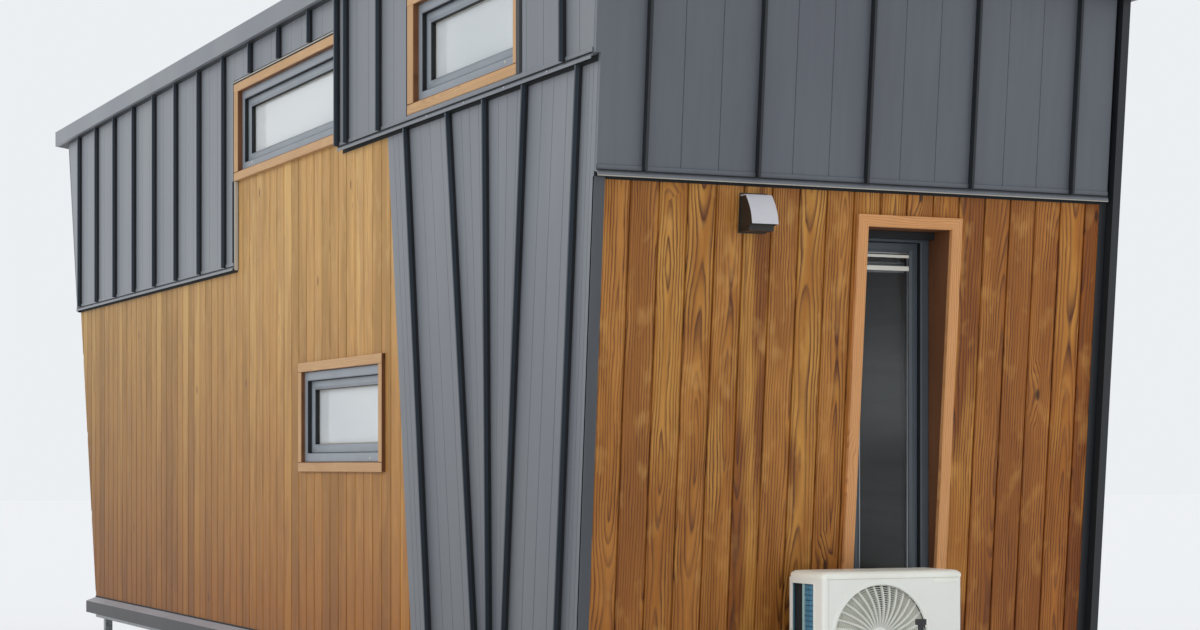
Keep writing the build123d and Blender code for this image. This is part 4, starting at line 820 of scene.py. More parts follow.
# Trims: the near end's corners, each with its place, half width, how far it stands out and its coat
cornerTrims = {"cornerTrim": (-1.196, 0.024, 0.0035, cornerCoatPaintedShade),
               "farCornerTrim": (1.2165, 0.0185, 0.005, seamDarkPaintedShade)}
trimBelow = 0.022          # from the band's flashing down to the trims' heads
for name, (y, half, proud, coat) in cornerTrims.items():
    section = box((-half, half), (-0.01, proud), 0.0015)
    makePiece(name, [post("near", y, (baseZ, nearLine - trimBelow), section)], coat)

# At the step of the boards a pale strip, a dark joint beside it and a painted shade on the trays
stepEnds = (lowBand - 0.02, longEdges[2] - 0.002)
stepParts = [(0.0065, stepEnds, 0.005, (0.0, 0.021), 0.001), (0.0145, stepEnds, 0.003, (0, 0.0015), 0),
             (-0.017, (lowBand + seamLooks["foot"], longEdges[2]), 0.011, (0.02, 0.0262), 0.001)]
stepPosts = [post("left", step + shift, ends, box((-half, half), out, ease))
             for shift, ends, half, out, ease in stepParts]
makePiece("stepStrip", stepPosts[:1], paleStrip)
makePiece("stepJointAndShade", stepPosts[1:], darkJointAndShade)

# Over each raised window of the -Y side a worn flashing, and a dark joint round its head and sides, painted
# shade in the gap
flashing = {"rise": 0.007, "section": ((0, 0.006), (0.018, 0.03)), "ease": 0.0015, "joint": 0.02,
            "half": 0.008, "jointOut": (0.015, 0.0245)}
tops, shadows, side = [], [], flashing["half"]
for u0, u1, low, high in (longEdges, upperEdges):
    tops.append(rail("left", (u0, u1), high + flashing["rise"], box(*flashing["section"], flashing["ease"])))
    shadows.append(rail("left", (u0, u1), high, box((0, flashing["joint"]), flashing["jointOut"])))
    shadows += [post("left", u, (low, high + flashing["joint"]), box((-side, side), flashing["jointOut"]))
                for u in (u0 - side, u1 + side)]
makePiece("headFlashings", tops, paleEdgeAndHighlight)
makePiece("headShadeJoints", shadows, darkJointAndShade)
print("sheet metal made")

# Edge beams: the folded sheet's sloping top and its face, which has a pressed lower lip; the top takes a
# lighter coat, painted light, and the face a darker one, painted shade
beam = {"gap": 0.008, "fall": 0.025, "face": 0.08, "proud": 0.07, "sheet": 0.005}


def beamParts(wall):
    # sections as (height below the top, distance out), carried along the house's whole foot
    out, sheet, nose = beam["proud"], beam["sheet"], -beam["fall"]
    foot, lip, top = nose - beam["face"], out - beam["fall"], baseZ - beam["gap"]
    ends = tuple(corner.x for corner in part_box("edge_beams"))
    cover = [(0, 0.0), (nose, out), (nose - sheet, out - sheet), (-sheet, 0.0)]
    face = [(nose, out), (foot, out), (foot, lip), (foot + sheet, lip), (foot + sheet, out - sheet),
            (nose - sheet, out - sheet)]
    # a dark strip over the gap above the beam: painted shade
    seal = box((-0.001, beam["gap"] + 0.001), (-0.03, 0.0025))
    return [rail(wall, ends, top, section) for section in (cover, face, seal)]


covers, faces, shadeSeals = zip(beamParts("left"), beamParts("right"))
makePiece("beamTops", covers, beamTopPaintedLight)
makePiece("beamFaces", faces, beamSheetPaintedShade, ["edge_beams"])
makePiece("beamShadeSeals", shadeSeals, darkJointAndShade)

# Casings, frames and glazing
casing = {"face": 0.049, "raisedJamb": 0.074, "proudBoards": 0.019, "proudMetal": 0.026, "ease": 0.0025,
          "joint": 0.0012, "reach": 0.073, "lap": 0.038, "lapProud": 0.0012, "skin": 0.0008}
sash = {"frame": 0.041, "depth": 0.07, "recess": 0.003, "set": 0.025, "face": 0.04, "round": 0.004,
        "pane": 0.036, "spacer": 0.007, "behind": 0.04, "paneBehind": 0.032, "tallPaneBehind": 0.011,
        "spread": (0.96, 1.17), "paneThick": 0.004, "rollerLevel": -0.084,
        "seal": (-0.002, 0.0012)}


def casingSizes(raised):
    # the jamb's width and how far the casing stands out
    return (casing["raisedJamb"], casing["proudMetal"]) if raised else (casing["face"], casing["proudBoards"])


def casingParts(wall, name, raised):
    # head and sill run through, the jambs stand between them; the sill's outer edge falls a little
    u0, u1, low, high = windowEdges(name)
    jamb, proud = casingSizes(raised)
    face, ease, deep = casing["face"], casing["ease"], -casing["reach"]
    sill = [(0, deep), (face, deep), (face, proud - 0.006), (face - 0.004, proud),
            (ease, proud), (0, proud - ease)]
    between = (low + face + casing["joint"], high - face - casing["joint"])
    upright = box((0, jamb), (deep, proud), ease)
    return [rail(wall, (u0, u1), high - face, box((0, face), (deep, proud), ease)),
            rail(wall, (u0, u1), low, sill),
            post(wall, u0 + jamb, between, upright), post(wall, u1, between, upright)]


def frameParts(wall, middle, size, level, paneBehind, spread=(1.0, 1.0)):
    # outer frame and sash, each one profile carried round the opening; black seals line the two returns as
    # painted shade, a pale spacer stands round the glass
    f, r, face, front = sash["frame"], sash["round"], sash["face"], level - sash["set"]
    deep, behind, shoulder = level - sash["depth"], front - sash["behind"], front - 2 * r
    pane = front - paneBehind
    outer = [(0, deep), (0, level - r), (r, level), (f - r, level), (f, level - r), (f, deep)]
    inner = [(0, behind), (0, front - r), (r, front), (face - 3 * r, front), (face, shoulder), (face, behind)]
    sashSize = tuple(s - 2 * f * wide for s, wide in zip(size, spread))
    glassSize = tuple(s - 2 * face * wide for s, wide in zip(sashSize, spread))
    frames = [rimPart(wall, middle, span, profile, spread=spread)
              for span, profile in ((size, outer), (sashSize, inner))]
    shadeSeals = [rimPart(wall, middle, sashSize, box(sash["seal"], (front, level - r))),
             rimPart(wall, middle, glassSize, box(sash["seal"], (pane, shoulder)))]
    spacer = rimPart(wall, middle, glassSize, box((-0.001, sash["spacer"]), (pane - 0.003, pane + 0.0005)))
    return frames, shadeSeals, [spacer], glassSize


def rollerBlind(wall, middle, size, level):
    # a drawn blind: a thin sheet with a shallow wave down it, 1 mm deep and 90 mm long
    v = middle[1] + np.linspace(-size[1] / 2, size[1] / 2, 40)[:, None]
    u = middle[0] + np.array([-0.5, 0.5, 0.5, -0.5]) * (size[0] + 0.04)
    out = level + 0.001 * np.sin((v - middle[1]) * 2 * np.pi / 0.09) + np.array([0, 0, -0.0015, -0.0015])
    return gridPart(onWall(wall, u, v, out))


def sideWindows(wall, listed):
    # one side's windows: each is a name, then whether it is raised over metal and whether its blind is drawn
    finishes = {"casings": (casingWood, "casing_wood"), "linings": (darkWoodPaintedShade, "casing_wood"),
                "cheeks": (seamDarkPaintedShade, "seam_metal"), "shades": (darkWoodPaintedShade, "casing_wood"),
                "frames": (frameGrey, "frame_grey"), "shadeSeals": (gasketAndShade, "frame_grey"),
                "spacers": (paleEdgeAndHighlight, "frame_grey"), "panes": (glass, "pane_glass"),
                "rollers": (blindWhite, "blind_white")}
    groups, skin = {key: [] for key in finishes}, casing["skin"]
    for name, raised, blind in listed:
        u0, u1, foot, head = windowEdges(name)
        middle, (jamb, proud) = (back(windows[name][0]), windows[name][1]), casingSizes(raised)
        # the casing's inner return is darker, painted shade in the recess: a thin sleeve round the opening
        size = (u1 - u0 - 2 * jamb, head - foot - 2 * casing["face"])
        sleeve = box((-0.001, skin), (-0.002, proud - 0.003))
        groups["linings"].append(rimPart(wall, ((u0 + u1) / 2, (foot + head) / 2), size, sleeve))
        frames, shadeSeals, spacers, glassSize = frameParts(wall, middle, size, -sash["recess"],
                                                       sash["paneBehind"], sash["spread"])
        front = -sash["recess"] - sash["set"] - sash["paneBehind"]
        half, tallHalf = glassSize[0] / 2, glassSize[1] / 2
        pane = box((-tallHalf, tallHalf), (front - sash["paneThick"], front))
        groups["panes"].append(rail(wall, (middle[0] - half, middle[0] + half), middle[1], pane))
        groups["casings"] += casingParts(wall, name, raised)
        if raised:
            # a near black cheek over the casing's side face: painted shade
            lap = box((-skin, casing["lap"]), (0, proud + casing["lapProud"]), 0.001)
            groups["cheeks"].append(post(wall, u1, (foot, head), lap))
        # the casing's side faces take the darker wood: painted shade
        else:
            groups["shades"] += [post(wall, u, (foot + 0.002, head - 0.002), box(across, (0, proud - 0.0015)))
                                 for u, across in ((u0, (0, skin)), (u1, (-skin, 0)))]
        for key, parts in (("frames", frames), ("shadeSeals", shadeSeals), ("spacers", spacers)):
            groups[key] += parts
        if blind:
            groups["rollers"].append(rollerBlind(wall, middle, glassSize, sash["rollerLevel"]))
    for key, (material, slot) in finishes.items():
        replaced = [f"{key}_{wall}"] if key in ("casings", "frames", "panes") else ()
        makePiece(key + wall.title(), groups[key], material, replaced)


sideWindows("left", [("clerestory", True, True), ("upper", True, True), ("low", False, False)])
sideWindows("right", [("rightUpper", True, True), ("rightLow", False, True)])


def tallLining():
    # boards plumb at the frame's plane behind, and level with the leaning wall's face ahead
    y0, y1, low, high = tallHole
    jamb, parts = tall["jamb"], []
    behind = nearX + tall["frameAhead"] - tall["frameDepth"]
    boards = [(y0, y0 + jamb, low + jamb, high - jamb, True), (y1 - jamb, y1, low + jamb, high - jamb, True),
              (y0, y1, high - jamb + 0.001, high, False), (y0, y1, low, low + jamb - 0.001, False)]
    for a, b, z0, z1, upright in boards:
        ahead = [nearAt(z, tall["proud"] - tall["trim"]) for z in (z0, z1)]
        x, z = np.array([behind, ahead[0], ahead[1], behind]), np.array([z0, z0, z1, z1])
        points = np.stack(np.broadcast_arrays(x, np.array([[a], [b]]), z), -1)
        across, along = (points[..., 1], points[..., 2]) if upright else (points[..., 2], points[..., 1])
        grain = np.stack(np.broadcast_arrays(points[..., 0] + across, along, 7 + 3 * a + z0), -1)
        parts.append(gridPart(points, grain=grain.reshape(-1, 3), tone=rng.uniform(0.2, 0.8)))
    return parts


def tallTrim():
    # the trim on the leaning wall is mitred: one eased section is carried round the opening
    ease, front, wide = tall["ease"], tall["proud"], tall["jamb"]
    section = [(0, front - tall["trim"]), (0, front - ease), (ease, front), (wide - ease, front),
               (wide, front - ease), (wide, front - tall["trim"])]
    size = (tallHole[1] - tallHole[0], tallHole[3] - tallHole[2])
    return rimPart("near", (tall["middle"], (tallHole[2] + tallHole[3]) / 2), size, section, seed=11.0)


# the tall window's lining in the darker wood: painted shade in the deep recess
makePiece("liningTall", tallLining(), darkWoodPaintedShade)
makePiece("casingTall", [tallTrim()], endCasingWood, ["casing_tall"])
tallSize = (tall["width"] - 2 * tall["jamb"], tall["head"] - tall["foot"] - 2 * tall["jamb"])
tallMiddle, tallLevel = (tall["middle"], (tall["head"] + tall["foot"]) / 2), nearX + tall["frameAhead"]
tallParts = frameParts("plumb", tallMiddle, tallSize, tallLevel, sash["tallPaneBehind"])
tallGlass = tallParts[3]
makePiece("frameTall", tallParts[0], frameShade, ["frame_tall"])
makePiece("shadeSealsTall", tallParts[1], gasketAndShade)
makePiece("spacerTall", tallParts[2], screwSteel)

# The tall window's blind, drawn up: drops and heights are measured from the glass's upper edge
blind = {"headShade": 0.03, "headShadeOut": (-0.01, 0.04), "rails": ((0.024, 0.012), (0.079, 0.019)),
         "railDepth": 0.0055, "railInset": 0.002, "railBehind": 0.005, "slatDrops": (0.03, 0.07), "slats": 5,
         "slatHalf": 0.011, "bow": 0.002, "thick": 0.0007, "behind": 0.034, "wider": 0.03}


def drawnSlats(glassTop):
    # gathered slats under the head rail: shallow arcs, bowed 2 mm, that hang a few millimetres apart
    across = np.linspace(-1, 1, 7)
    bow = blind["bow"] * (1 - across ** 2)
    x = np.concatenate([across, across[::-1]]) * blind["slatHalf"]
    x = x + tallLevel - sash["pane"] - blind["behind"]
    rise = np.concatenate([bow, bow[::-1] - blind["thick"]])
    y = tall["middle"] + np.array([[-0.5], [0.5]]) * (tallGlass[0] + blind["wider"])
    return [gridPart(np.stack(np.broadcast_arrays(x, y, glassTop - drop + rise), -1))
            for drop in np.linspace(*blind["slatDrops"], blind["slats"])]


def blindRail(width, z, high, behind, ahead):
    # a level bar across the window between two depths
    ends = tall["middle"] - width / 2, tall["middle"] + width / 2
    return rail("plumb", ends, z, box((0, high), (behind, ahead)))


glassTop, headShade = tallMiddle[1] + tallGlass[1] / 2, blind["headShade"]
railX = tallLevel - sash["set"] - blind["railBehind"]
# a black band at the frame's head: painted shade under the lining's head
headShadeRail = blindRail(tallSize[0], tallMiddle[1] + tallSize[1] / 2 - headShade, headShade,
                       tallLevel + blind["headShadeOut"][0], tallLevel + blind["headShadeOut"][1])
makePiece("tallHeadShade", [headShadeRail], gasketAndShade)
railWidth, railBack = tallGlass[0] - blind["railInset"], railX - blind["railDepth"]
rails = [blindRail(railWidth, glassTop - drop, high, railBack, railX) for drop, high in blind["rails"]]
# the rails take the whiter enamel: painted light
makePiece("blindRails", rails, brightEnamelPaintedLight)
# the slats take the fan's dark grey: painted shade in the recess
makePiece("gatheredSlats", drawnSlats(glassTop), unitGreyAndShade)

# The door's casing: a head, two jambs and a sill between them
u0, u1, low, high = doorHole
face, out, ease = casing["face"], (-casing["reach"], casing["proudBoards"]), casing["ease"]
jambSection, between = box((0, face), out, ease), (low, high - face - casing["joint"])
doorParts = [rail("right", (u0, u1), high - face, jambSection),
             post("right", u0 + face, between, jambSection), post("right", u1, between, jambSection),
             rail("right", (u0 + face, u1 - face), low, box((0, door["sill"]), out, ease))]
makePiece("doorCasing", doorParts, casingWood, ["door_casing"])

# Small pale caps on the window frames: distance back and height of each
drain = {"places": ((2.3976, 1.535), (0.7157, 3.2245), (4.35, 3.2245)), "out": -0.0028, "radius": 0.007}
caps = [(back(distance), z, drain["out"]) for distance, z in drain["places"]]
makePiece("drainCaps", screwParts(caps, drain["radius"]), paleStrip)
print("windows made")

# Vent hood: a pale curved flap over a dark box that is open below
hood = {"middle": -0.505, "width": 0.12, "top": 2.6, "tall": 0.158, "flap": 0.132, "shoulder": 0.05,
        "reach": 0.112, "bulge": 0.011, "brow": 0.013, "skin": 0.0025, "plate": 0.004, "duct": 0.05,
        "ductSet": 0.03}


def hoodCurve(inset=0.0):
    # the flap falls from the shoulder to the reach in a straight line that bulges by a half sine
    share = np.linspace(0, 1, 14)
    straight = hood["shoulder"] + (hood["reach"] - hood["shoulder"]) * share
    out = straight + hood["bulge"] * np.sin(np.pi * share) - inset
    return np.stack([out, hood["top"] - hood["brow"] - (hood["flap"] - hood["brow"]) * share], -1)


def hoodPrism(section, inset0, inset1):
    # a section (out, height) carried across the hood, between insets from its two sides
    out, z = np.concatenate([np.atleast_2d(part) for part in section]).T
    y0, y1 = hood["middle"] - hood["width"] / 2, hood["middle"] + hood["width"] / 2
    return gridPart(onWall("near", np.array([[y0 + inset0], [y1 - inset1]]), z, out))


def makeHood():
    # the pale flap, then behind it the dark cheeks, wall plate and duct
    top, foot, brow = hood["top"], hood["top"] - hood["tall"], hood["top"] - hood["brow"]
    wide, plate, skin, shoulder = hood["width"], hood["plate"], hood["skin"], hood["shoulder"]
    deep, ductTop = hood["reach"] - hood["ductSet"], foot + hood["duct"]
    flap = [(plate, brow + 0.004), (shoulder - 0.006, brow + 0.004), hoodCurve(), hoodCurve(skin)[::-1],
            (shoulder - 0.008, brow), (plate, brow)]
    cheek = [(0.0, brow), hoodCurve(skin), (0.0, foot + 0.012)]
    wallPlate = [(-0.001, foot - plate), (plate, foot - plate), (plate, top), (-0.001, top)]
    duct = [(plate, foot), (deep, foot), (deep, ductTop), (plate, ductTop)]
    makePiece("ventFlap", [hoodPrism(flap, 0, 0)], hoodGrey, ["vent_hood"], smooth=30)
    darkParts = [hoodPrism(cheek, 0.001, wide - 0.003), hoodPrism(cheek, wide - 0.003, 0.001),
                 hoodPrism(wallPlate, -0.004, -0.004), hoodPrism(duct, 0.004, 0.004)]
    makePiece("ventBox", darkParts, hoodDark)


makeHood()

# Outdoor unit
unit = {"back": 0.148, "front": 0.418, "left": -0.322, "right": 0.33, "foot": 0.54, "top": 1.073,
        "fan": (-0.057, 0.801), "mouth": 0.2155, "ring": 0.2356, "lidLine": 1.043, "corner": 0.018,
        "sheet": 0.0012, "panel": 0.004, "strip": ((0.19, 0.3115), 1.0235, 0.014), "seam": 0.023}
guard = {"hub": 0.045, "bars": 36, "swirl": 0.14, "bow": 0.012, "barHalf": 0.0042, "barDeep": 0.01,
         "rings": 19, "ringDepth": 0.026, "ringHalf": 0.0012, "wellDepth": 0.088}
coil = {          # the three distances out are from the boards' plane
    "behind": 0.17, "ahead": 0.341, "above": 0.045, "top": 1.0235, "split": 0.24, "wireStep": 0.021,
    "post": 0.017, "rimOut": (-0.9, -0.896), "wireOut": (-0.909, -0.9065), "tubeOut": (-0.911, -0.9055),
    "finPitch": 0.008, "finWave": 0.003}
unitBack, unitFront, unitTop = nearX + unit["back"], nearX + unit["front"], unit["lidLine"] + 0.001
left, right, foot, corner = unit["left"], unit["right"], unit["foot"], unit["corner"]


def roundedOutline(inset, radius, steps=6):
    # the unit seen from above: corner arcs joined by straight sides
    quarter = np.linspace(0, np.pi / 2, steps)
    x = unitBack + inset + radius, unitFront - inset - radius
    y = left + inset + radius, right - inset - radius
    arcs = []
    for i, j, turn in ((1, 1, 0), (0, 1, 1), (0, 0, 2), (1, 0, 3)):
        angle = quarter + turn * np.pi / 2
        arcs.append(np.stack([x[i] + radius * np.cos(angle), y[j] + radius * np.sin(angle)], -1))
    return np.concatenate(arcs)


def outlineRing(inset, radius, z):
    # the outline at one height
    outline = roundedOutline(inset, radius)
    return np.column_stack([outline, np.full(len(outline), z)])


def unitLid():
    # the outline carried up a profile of (inset, height): a straight rim, a bevel and a slightly crowned top
    line, rise = unit["lidLine"], unit["top"]
    profile = [(0.004, line), (-0.002, line + 0.001), (-0.002, rise - 0.016), (0.001, rise - 0.011),
               (0.012, rise - 0.003), (0.024, rise - 0.001), (0.07, rise), (0.12, rise)]
    return gridPart([outlineRing(inset, max(corner - inset * 0.3, 0.006), z) for inset, z in profile])


def frontPanel():
    # from the fan's mouth outward: at each angle the radius grows from the ring to the panel's edge, and the
    # ring stands 7 mm proud with rounded shoulders; the panel's corners are angles of their own
    fy, fz = unit["fan"]
    sides, levels = (left + corner - fy, right - corner - fy), (foot - fz, unitTop - fz)
    corners = [np.arctan2(z, y) % (2 * np.pi) for y in sides for z in levels]
    angle = np.sort(np.concatenate([np.linspace(0, 2 * np.pi, 96, endpoint=False), corners]))
    c, s = np.cos(angle), np.sin(angle)
    reachY = np.where(c >= 0, sides[1], -sides[0]) / np.maximum(np.abs(c), 1e-9)
    reachZ = np.where(s >= 0, levels[1], -levels[0]) / np.maximum(np.abs(s), 1e-9)
    edge = np.minimum(reachY, reachZ)
    mouth, ring = unit["mouth"], unit["ring"]
    profile = [(mouth, -0.05), (mouth, 0.002), (mouth + 0.003, 0.0065), (mouth + 0.012, 0.007),
               (ring - 0.004, 0.004), (ring, 0.0), (np.inf, 0.0), (np.inf, -0.02)]
    radii, ahead = np.array(profile).T[..., None]
    radii = np.minimum(radii, edge)
    return gridPart(np.stack([unitFront + ahead + 0 * edge, fy + radii * c, fz + radii * s], -1), "open")


def panelStrip(points, z0, z1, thick=unit["panel"]):
    # an upright sheet that follows a line seen from above
    line = np.array(points, float)
    run = np.gradient(line, axis=0)
    normal = np.stack([-run[:, 1], run[:, 0]], -1) / np.hypot(run[:, 0], run[:, 1])[:, None]
    loop = np.concatenate([line, (line + normal * thick)[::-1]])
    return gridPart([np.column_stack([loop, np.full(len(loop), z)]) for z in (z0, z1)])


def guardPlace(share):
    # radius and depth of the guard's bowed surface at a share of the way from hub to mouth
    return guard["hub"] + (unit["mouth"] - guard["hub"]) * share, guard["bow"] * np.sin(np.pi * share)


def guardBars():
    # curved radial bars: the angle turns by the swirl from hub to ring, and the bars bow out 12 mm between
    share = np.linspace(0, 1, 9)[:, None]
    radius, bow = guardPlace(share)
    half, deep = guard["barHalf"], guard["barDeep"]
    across, behind = np.array([-half, half, half, -half]), np.array([0.0, 0.0, -deep, -deep])
    parts = []
    for start in np.linspace(0, 2 * np.pi, guard["bars"], endpoint=False):
        angle = start + guard["swirl"] * share
        c, s = np.cos(angle), np.sin(angle)
        y, z = unit["fan"][0] + radius * c - s * across, unit["fan"][1] + radius * s + c * across
        parts.append(gridPart(np.stack([unitFront - 0.008 + bow + behind, y, z], -1)))
    return parts


def guardRings():
    # deep thin rings behind the bars, about 9 mm apart, on the same bowed surface
    parts, deep, half = [], guard["ringDepth"], guard["ringHalf"]
    for share in np.linspace(0.06, 0.99, guard["rings"]):
        radius, bow = guardPlace(share)
        section = box((-deep, 0.0), (radius - half, radius + half))
        parts.append(lathe(section, (unitFront - 0.011 + bow, *unit["fan"]), "x", 72))
    return parts


def coilFins(y, x0, x1, z0, z1):
    # corrugated fins drawn 8 mm apart instead of 2 mm, so that they show: depth follows a sine across
    x = np.linspace(x0, x1, int((x1 - x0) / 0.002))
    depth = y + coil["finWave"] * np.sin(2 * np.pi * (x - x0) / coil["finPitch"])
    loop = np.stack([np.concatenate([x, x[::-1]]), np.concatenate([depth, np.full(len(x), y + 0.01)])], -1)
    return gridPart([np.column_stack([loop, np.full(len(loop), z)]) for z in (z0, z1)])


def makeShell():
    # the lid, the front panel and the thin walls, then the coil in its opening, the rear guard and the base
    quarter, cornerX, line = np.linspace(0, np.pi / 2, 7), unitFront - corner, unit["lidLine"]
    s, c = corner * np.sin(quarter), corner * np.cos(quarter)
    leftCorner = np.stack([cornerX + s, left + corner - c], -1)
    rightCorner = np.stack([cornerX + c, right - corner + s], -1)
    x0, x1, z0, z1 = nearX + coil["behind"], nearX + coil["ahead"], foot + coil["above"], coil["top"]
    runs = [([(x1, left), (cornerX - 0.004, left), *leftCorner], foot, unitTop),
            ([(unitBack, left), (x0, left)], foot, unitTop), ([(x0, left), (x1, left)], z1, unitTop),
            ([(x0, left), (x1, left)], foot, z0),
            ([*rightCorner, (unitBack + 0.01, right), (unitBack, right - 0.01)], foot, unitTop)]
    makePiece("unitLid", [unitLid()], brightEnamelPaintedLight, smooth=35)
    makePiece("unitFront", [frontPanel()], unitWhite, ["unit_housing"], smooth=40)
    makePiece("unitShell", [panelStrip(*run, unit["sheet"]) for run in runs], unitWhite)
    # the opening at the left side: its rim, fins, post and wires
    rim = box((-0.004, 0.003), coil["rimOut"])
    makePiece("coilFrame", [rimPart("left", ((x0 + x1) / 2, (z0 + z1) / 2), (x1 - x0, z1 - z0), rim)],
              unitWhite)
    split = nearX + coil["split"]
    makePiece("coil", [coilFins(left + 0.016, split + 0.004, x1 - 0.002, z0, z1)], coilBlue)
    makePiece("coilPost", [panelStrip([(x0 - 0.004, left + 0.014), (split - 0.002, left + 0.014)], z0, z1)],
              darkJointAndShade)
    wires = [rail("left", (split, x1), z, box((0, 0.0022), coil["wireOut"]))
             for z in np.arange(z0 + 0.01, z1, coil["wireStep"])]
    makePiece("coilWires", wires, coilShade)
    tube = post("left", split, (z0, z1), box((0.003 - coil["post"], 0.003), coil["tubeOut"]))
    makePiece("coilTube", [tube], coilWire)
    rear = [(unitBack + 0.012, right - 0.012), (unitBack + 0.012, left + 0.002)]
    makePiece("unitRear", [panelStrip(rear, foot, unitTop)], coilBlue)
    levels, places = np.arange(foot + 0.03, line, 0.05), np.linspace(left + 0.02, right - 0.02, 8)
    section = box((0, 0.003), (unitBack + 0.001, unitBack + 0.006))
    wires = [rail("plumb", (left + 0.01, right - 0.015), z, section) for z in levels]
    section = box((0, 0.003), (unitBack + 0.002, unitBack + 0.007))
    wires += [post("plumb", y, (foot + 0.02, line), section) for y in places]
    makePiece("rearGuard", wires, unitWhite)
    makePiece("unitBase", [gridPart([outlineRing(0.006, corner, z) for z in (foot, foot + 0.012)])],
              unitWhite)


def makeGuard():
    # the guard in front of the fan and the dark well behind it
    hub, mouth, well = guard["hub"], unit["mouth"], -guard["wellDepth"]
    cap = [(0.0, 0.001), (0.0, hub), (0.004, hub), (0.009, hub - 0.006), (0.011, 0.02), (0.011, 0.001)]
    cup = [(well, 0.002), (well, mouth), (0.0, mouth), (0.0, mouth + 0.001), (well - 0.001, mouth + 0.001),
           (well - 0.001, 0.002)]
    hubCap = lathe(cap, (unitFront - 0.012, *unit["fan"]), "x", 40)
    fanWell = lathe(cup, (unitFront - 0.002, *unit["fan"]), "x", 64)
    makePiece("guardHub", [hubCap], unitWhite, smooth=35)
    makePiece("guardBars", guardBars(), guardGrey, ["unit_grille"])
    makePiece("guardRings", guardRings(), brightEnamelPaintedLight)
    makePiece("fanWell", [fanWell], guardShade, smooth=30)


def makeStrips():
    # the blank strip at the panel's upper corner, the panel's two fine grey lines, painted shade below the
    # lid and beside the panel's edge, and the rubber feet
    (ends, z, high), line = unit["strip"], unit["lidLine"]
    front = unitFront - 0.001
    strip = rail("plumb", ends, z, box((0, high), (front, unitFront + 0.0025), 0.001))
    lines = [post("plumb", left + unit["seam"], (foot + 0.02, line - 0.002),
                  box((0, 0.0012), (front, unitFront + 0.0004))),
             rail("plumb", (left + corner, right - corner), line - 0.0016,
                  box((0, 0.0016), (front, unitFront + 0.0006)))]
    makePiece("unitStrip", [strip], brightEnamelPaintedLight)
    makePiece("unitPanelShadeLines", lines, paleStrip)
    x = unitBack + 0.06
    feet = [panelStrip([(x, y - 0.03), (x, y + 0.03)], foot - 0.0005, foot + 0.02, 0.05)
            for y in (left + 0.1, right - 0.1)]
    makePiece("unitFeet", feet, gasketAndShade)


makeShell()
makeGuard()
makeStrips()
print("fittings made")

# Wheels
wheel = {"radius": 0.255, "rim": 0.168, "y": 1.03, "grooves": 4, "groovePitch": 0.034, "grooveDepth": 0.007,
         "nuts": 5, "nutCircle": 0.055, "nutOut": 0.041, "hubOut": 0.036,
         "places": (back(4.3) - 0.38, back(4.3) + 0.38)}


def tyreSection():
    # bead, bulging sidewall, rounded shoulder and a grooved flat tread, as (along the axle, radius)
    radius, rim, deep = wheel["radius"], wheel["rim"], wheel["radius"] - wheel["grooveDepth"]
    middles = (np.arange(wheel["grooves"]) - (wheel["grooves"] - 1) / 2) * wheel["groovePitch"]
    tread = [(middle + a, r) for middle in middles
             for a, r in ((-0.004, radius), (-0.003, deep), (0.003, deep), (0.004, radius))]
    side = [(-0.070, rim), (-0.084, rim + 0.014), (-0.0905, rim + 0.04), (-0.088, radius - 0.026),
            (-0.078, radius - 0.007), (-0.068, radius)]
    return side + tread + [(-a, r) for a, r in side[::-1]]


# The wheels' other sections, as (along the axle, radius): the barrel has rolled edges, the disc is dished
wheelSections = {
    "barrel": [(-0.077, 0.166), (-0.077, 0.171), (-0.072, 0.1665), (0.072, 0.1665), (0.077, 0.171),
               (0.077, 0.166), (0.07, 0.158), (-0.07, 0.158)],
    "disc": [(0.03, 0.159), (0.037, 0.13), (0.05, 0.1), (0.051, 0.075), (0.038, 0.05), (0.038, 0.002),
             (0.034, 0.002), (0.034, 0.05), (0.047, 0.077), (0.046, 0.1), (0.033, 0.13), (0.026, 0.159)],
    "nut": [(0, 0.001), (0, 0.011), (0.012, 0.011), (0.014, 0.008), (0.014, 0.001)],
    "hub": [(0, 0.001), (0, 0.03), (0.02, 0.03), (0.026, 0.024), (0.027, 0.001)],
}


def makeWheels():
    # two axles with a wheel at each side; a section is mirrored for the -Y side
    tyres, rims, nuts = [], [], []
    for x, side in [(x, side) for x in wheel["places"] for side in (-1, 1)]:
        turned = {name: [(side * a, r) for a, r in section] for name, section in wheelSections.items()}
        y, radius = wheel["y"], wheel["radius"]
        tyres.append(lathe(tyreSection(), (x, side * y, radius), "y", 72))
        rims += [lathe(turned[name], (x, side * y, radius), "y", 56) for name in ("barrel", "disc")]
        for turn in np.linspace(0, 2 * np.pi, wheel["nuts"], endpoint=False):
            across, up = wheel["nutCircle"] * np.cos(turn), wheel["nutCircle"] * np.sin(turn)
            nuts.append(lathe(turned["nut"], (x + across, side * (y + wheel["nutOut"]), radius + up), "y", 6))
        nuts.append(lathe(turned["hub"], (x, side * (y + wheel["hubOut"]), radius), "y", 32))
    makePiece("tyres", tyres, tyreRubber, ["tyres"], smooth=35)
    makePiece("rims", rims, wheelSilver, ["wheel_rims"], smooth=35)
    makePiece("wheelNuts", nuts, screwSteel)


makeWheels()
print("wheels made")

# Floor, lamp and camera
studio = {"floorColour": "#FBFBFC", "floorReach": 90, "worldColour": "#F4F7FA", "worldStrength": 0.8,
          "seenStrength": 0.93, "keyPower": 1.0, "keySoft": 38.0, "keyFrom": (-0.34, -1.0, 0.62)}


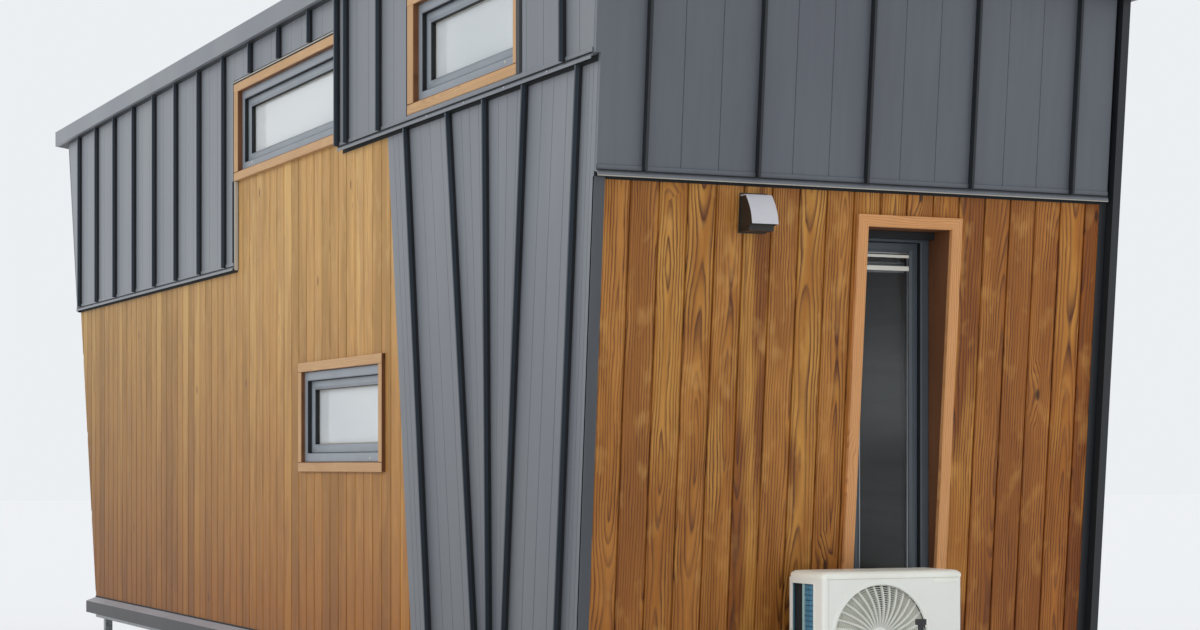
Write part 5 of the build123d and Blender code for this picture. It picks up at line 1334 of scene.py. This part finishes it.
def makeFloor():
    # a level sheet, 1 mm below the ground line
    material, tree, shader = newMaterial("paleFloor", studio["floorColour"])
    shader.inputs["Base Color"].default_value = linear(studio["floorColour"])
    shader.inputs["Roughness"].default_value = 0.9
    reach = np.linspace(-studio["floorReach"], studio["floorReach"], 61)
    gx, gy = np.meshgrid(reach, reach, indexing="ij")
    points = np.stack([gx, gy, np.full(gx.shape, -0.001)], -1)
    mesh = bpy.data.meshes.new("studioFloor")
    mesh.from_pydata(points.reshape(-1, 3).tolist(), [], bandFaces(61, 61)[:, ::-1].tolist())
    piece = bpy.data.objects.new("studioFloor", mesh)
    bpy.context.collection.objects.link(piece)
    mesh.materials.append(material)


def makeLight():
    # even light all round, seen a little brighter by the camera and in reflections, and one soft lamp
    world = bpy.data.worlds.new("studio")
    bpy.context.scene.world = world
    world.use_nodes = True
    tree = world.node_tree
    rays = addNode(tree, "LightPath", out=None)
    seen = addNode(tree, "Math", {0: rays["Is Camera Ray"], 1: rays["Is Glossy Ray"]}, operation="MAXIMUM")
    seen = addNode(tree, "Math", {0: seen, 1: rays["Is Transmission Ray"]}, operation="MAXIMUM")
    strength = addNode(tree, "MapRange", {"Value": seen, "To Min": studio["worldStrength"],
                                          "To Max": studio["seenStrength"]})
    tree.links.new(strength, tree.nodes["Background"].inputs["Strength"])
    tree.nodes["Background"].inputs["Color"].default_value = linear(studio["worldColour"])
    lamp = bpy.data.lights.new("softKey", "SUN")
    lamp.energy = studio["keyPower"]
    lamp.angle = np.radians(studio["keySoft"])
    key = bpy.data.objects.new("softKey", lamp)
    bpy.context.collection.objects.link(key)
    key.rotation_euler = Vector(studio["keyFrom"]).to_track_quat("Z", "Y").to_euler()


def makeCamera():
    # the photograph's viewpoint: turned from the house's length, level, with a shifted frame
    shot = {"ahead": 8.6227, "y": -5.2426, "height": 1.4963, "turn": 0.39649, "lens": 71.285,
            "shift": (0.1, 0.12577)}
    lens = bpy.data.cameras.new("photoView")
    lens.sensor_width = 36.0
    lens.lens = shot["lens"]
    lens.shift_x, lens.shift_y = shot["shift"]
    lens.clip_end = 300
    camera = bpy.data.objects.new("photoView", lens)
    bpy.context.collection.objects.link(camera)
    c, s = np.cos(shot["turn"]), np.sin(shot["turn"])
    camera.matrix_world = Matrix(((s, 0, c, nearX + shot["ahead"]), (c, 0, -s, shot["y"]),
                                  (0, 1, 0, shot["height"]), (0, 0, 0, 1)))
    bpy.context.scene.camera = camera


makeFloor()
makeLight()
makeCamera()
bpy.context.scene.view_settings.view_transform = "Standard"
print("scene made")
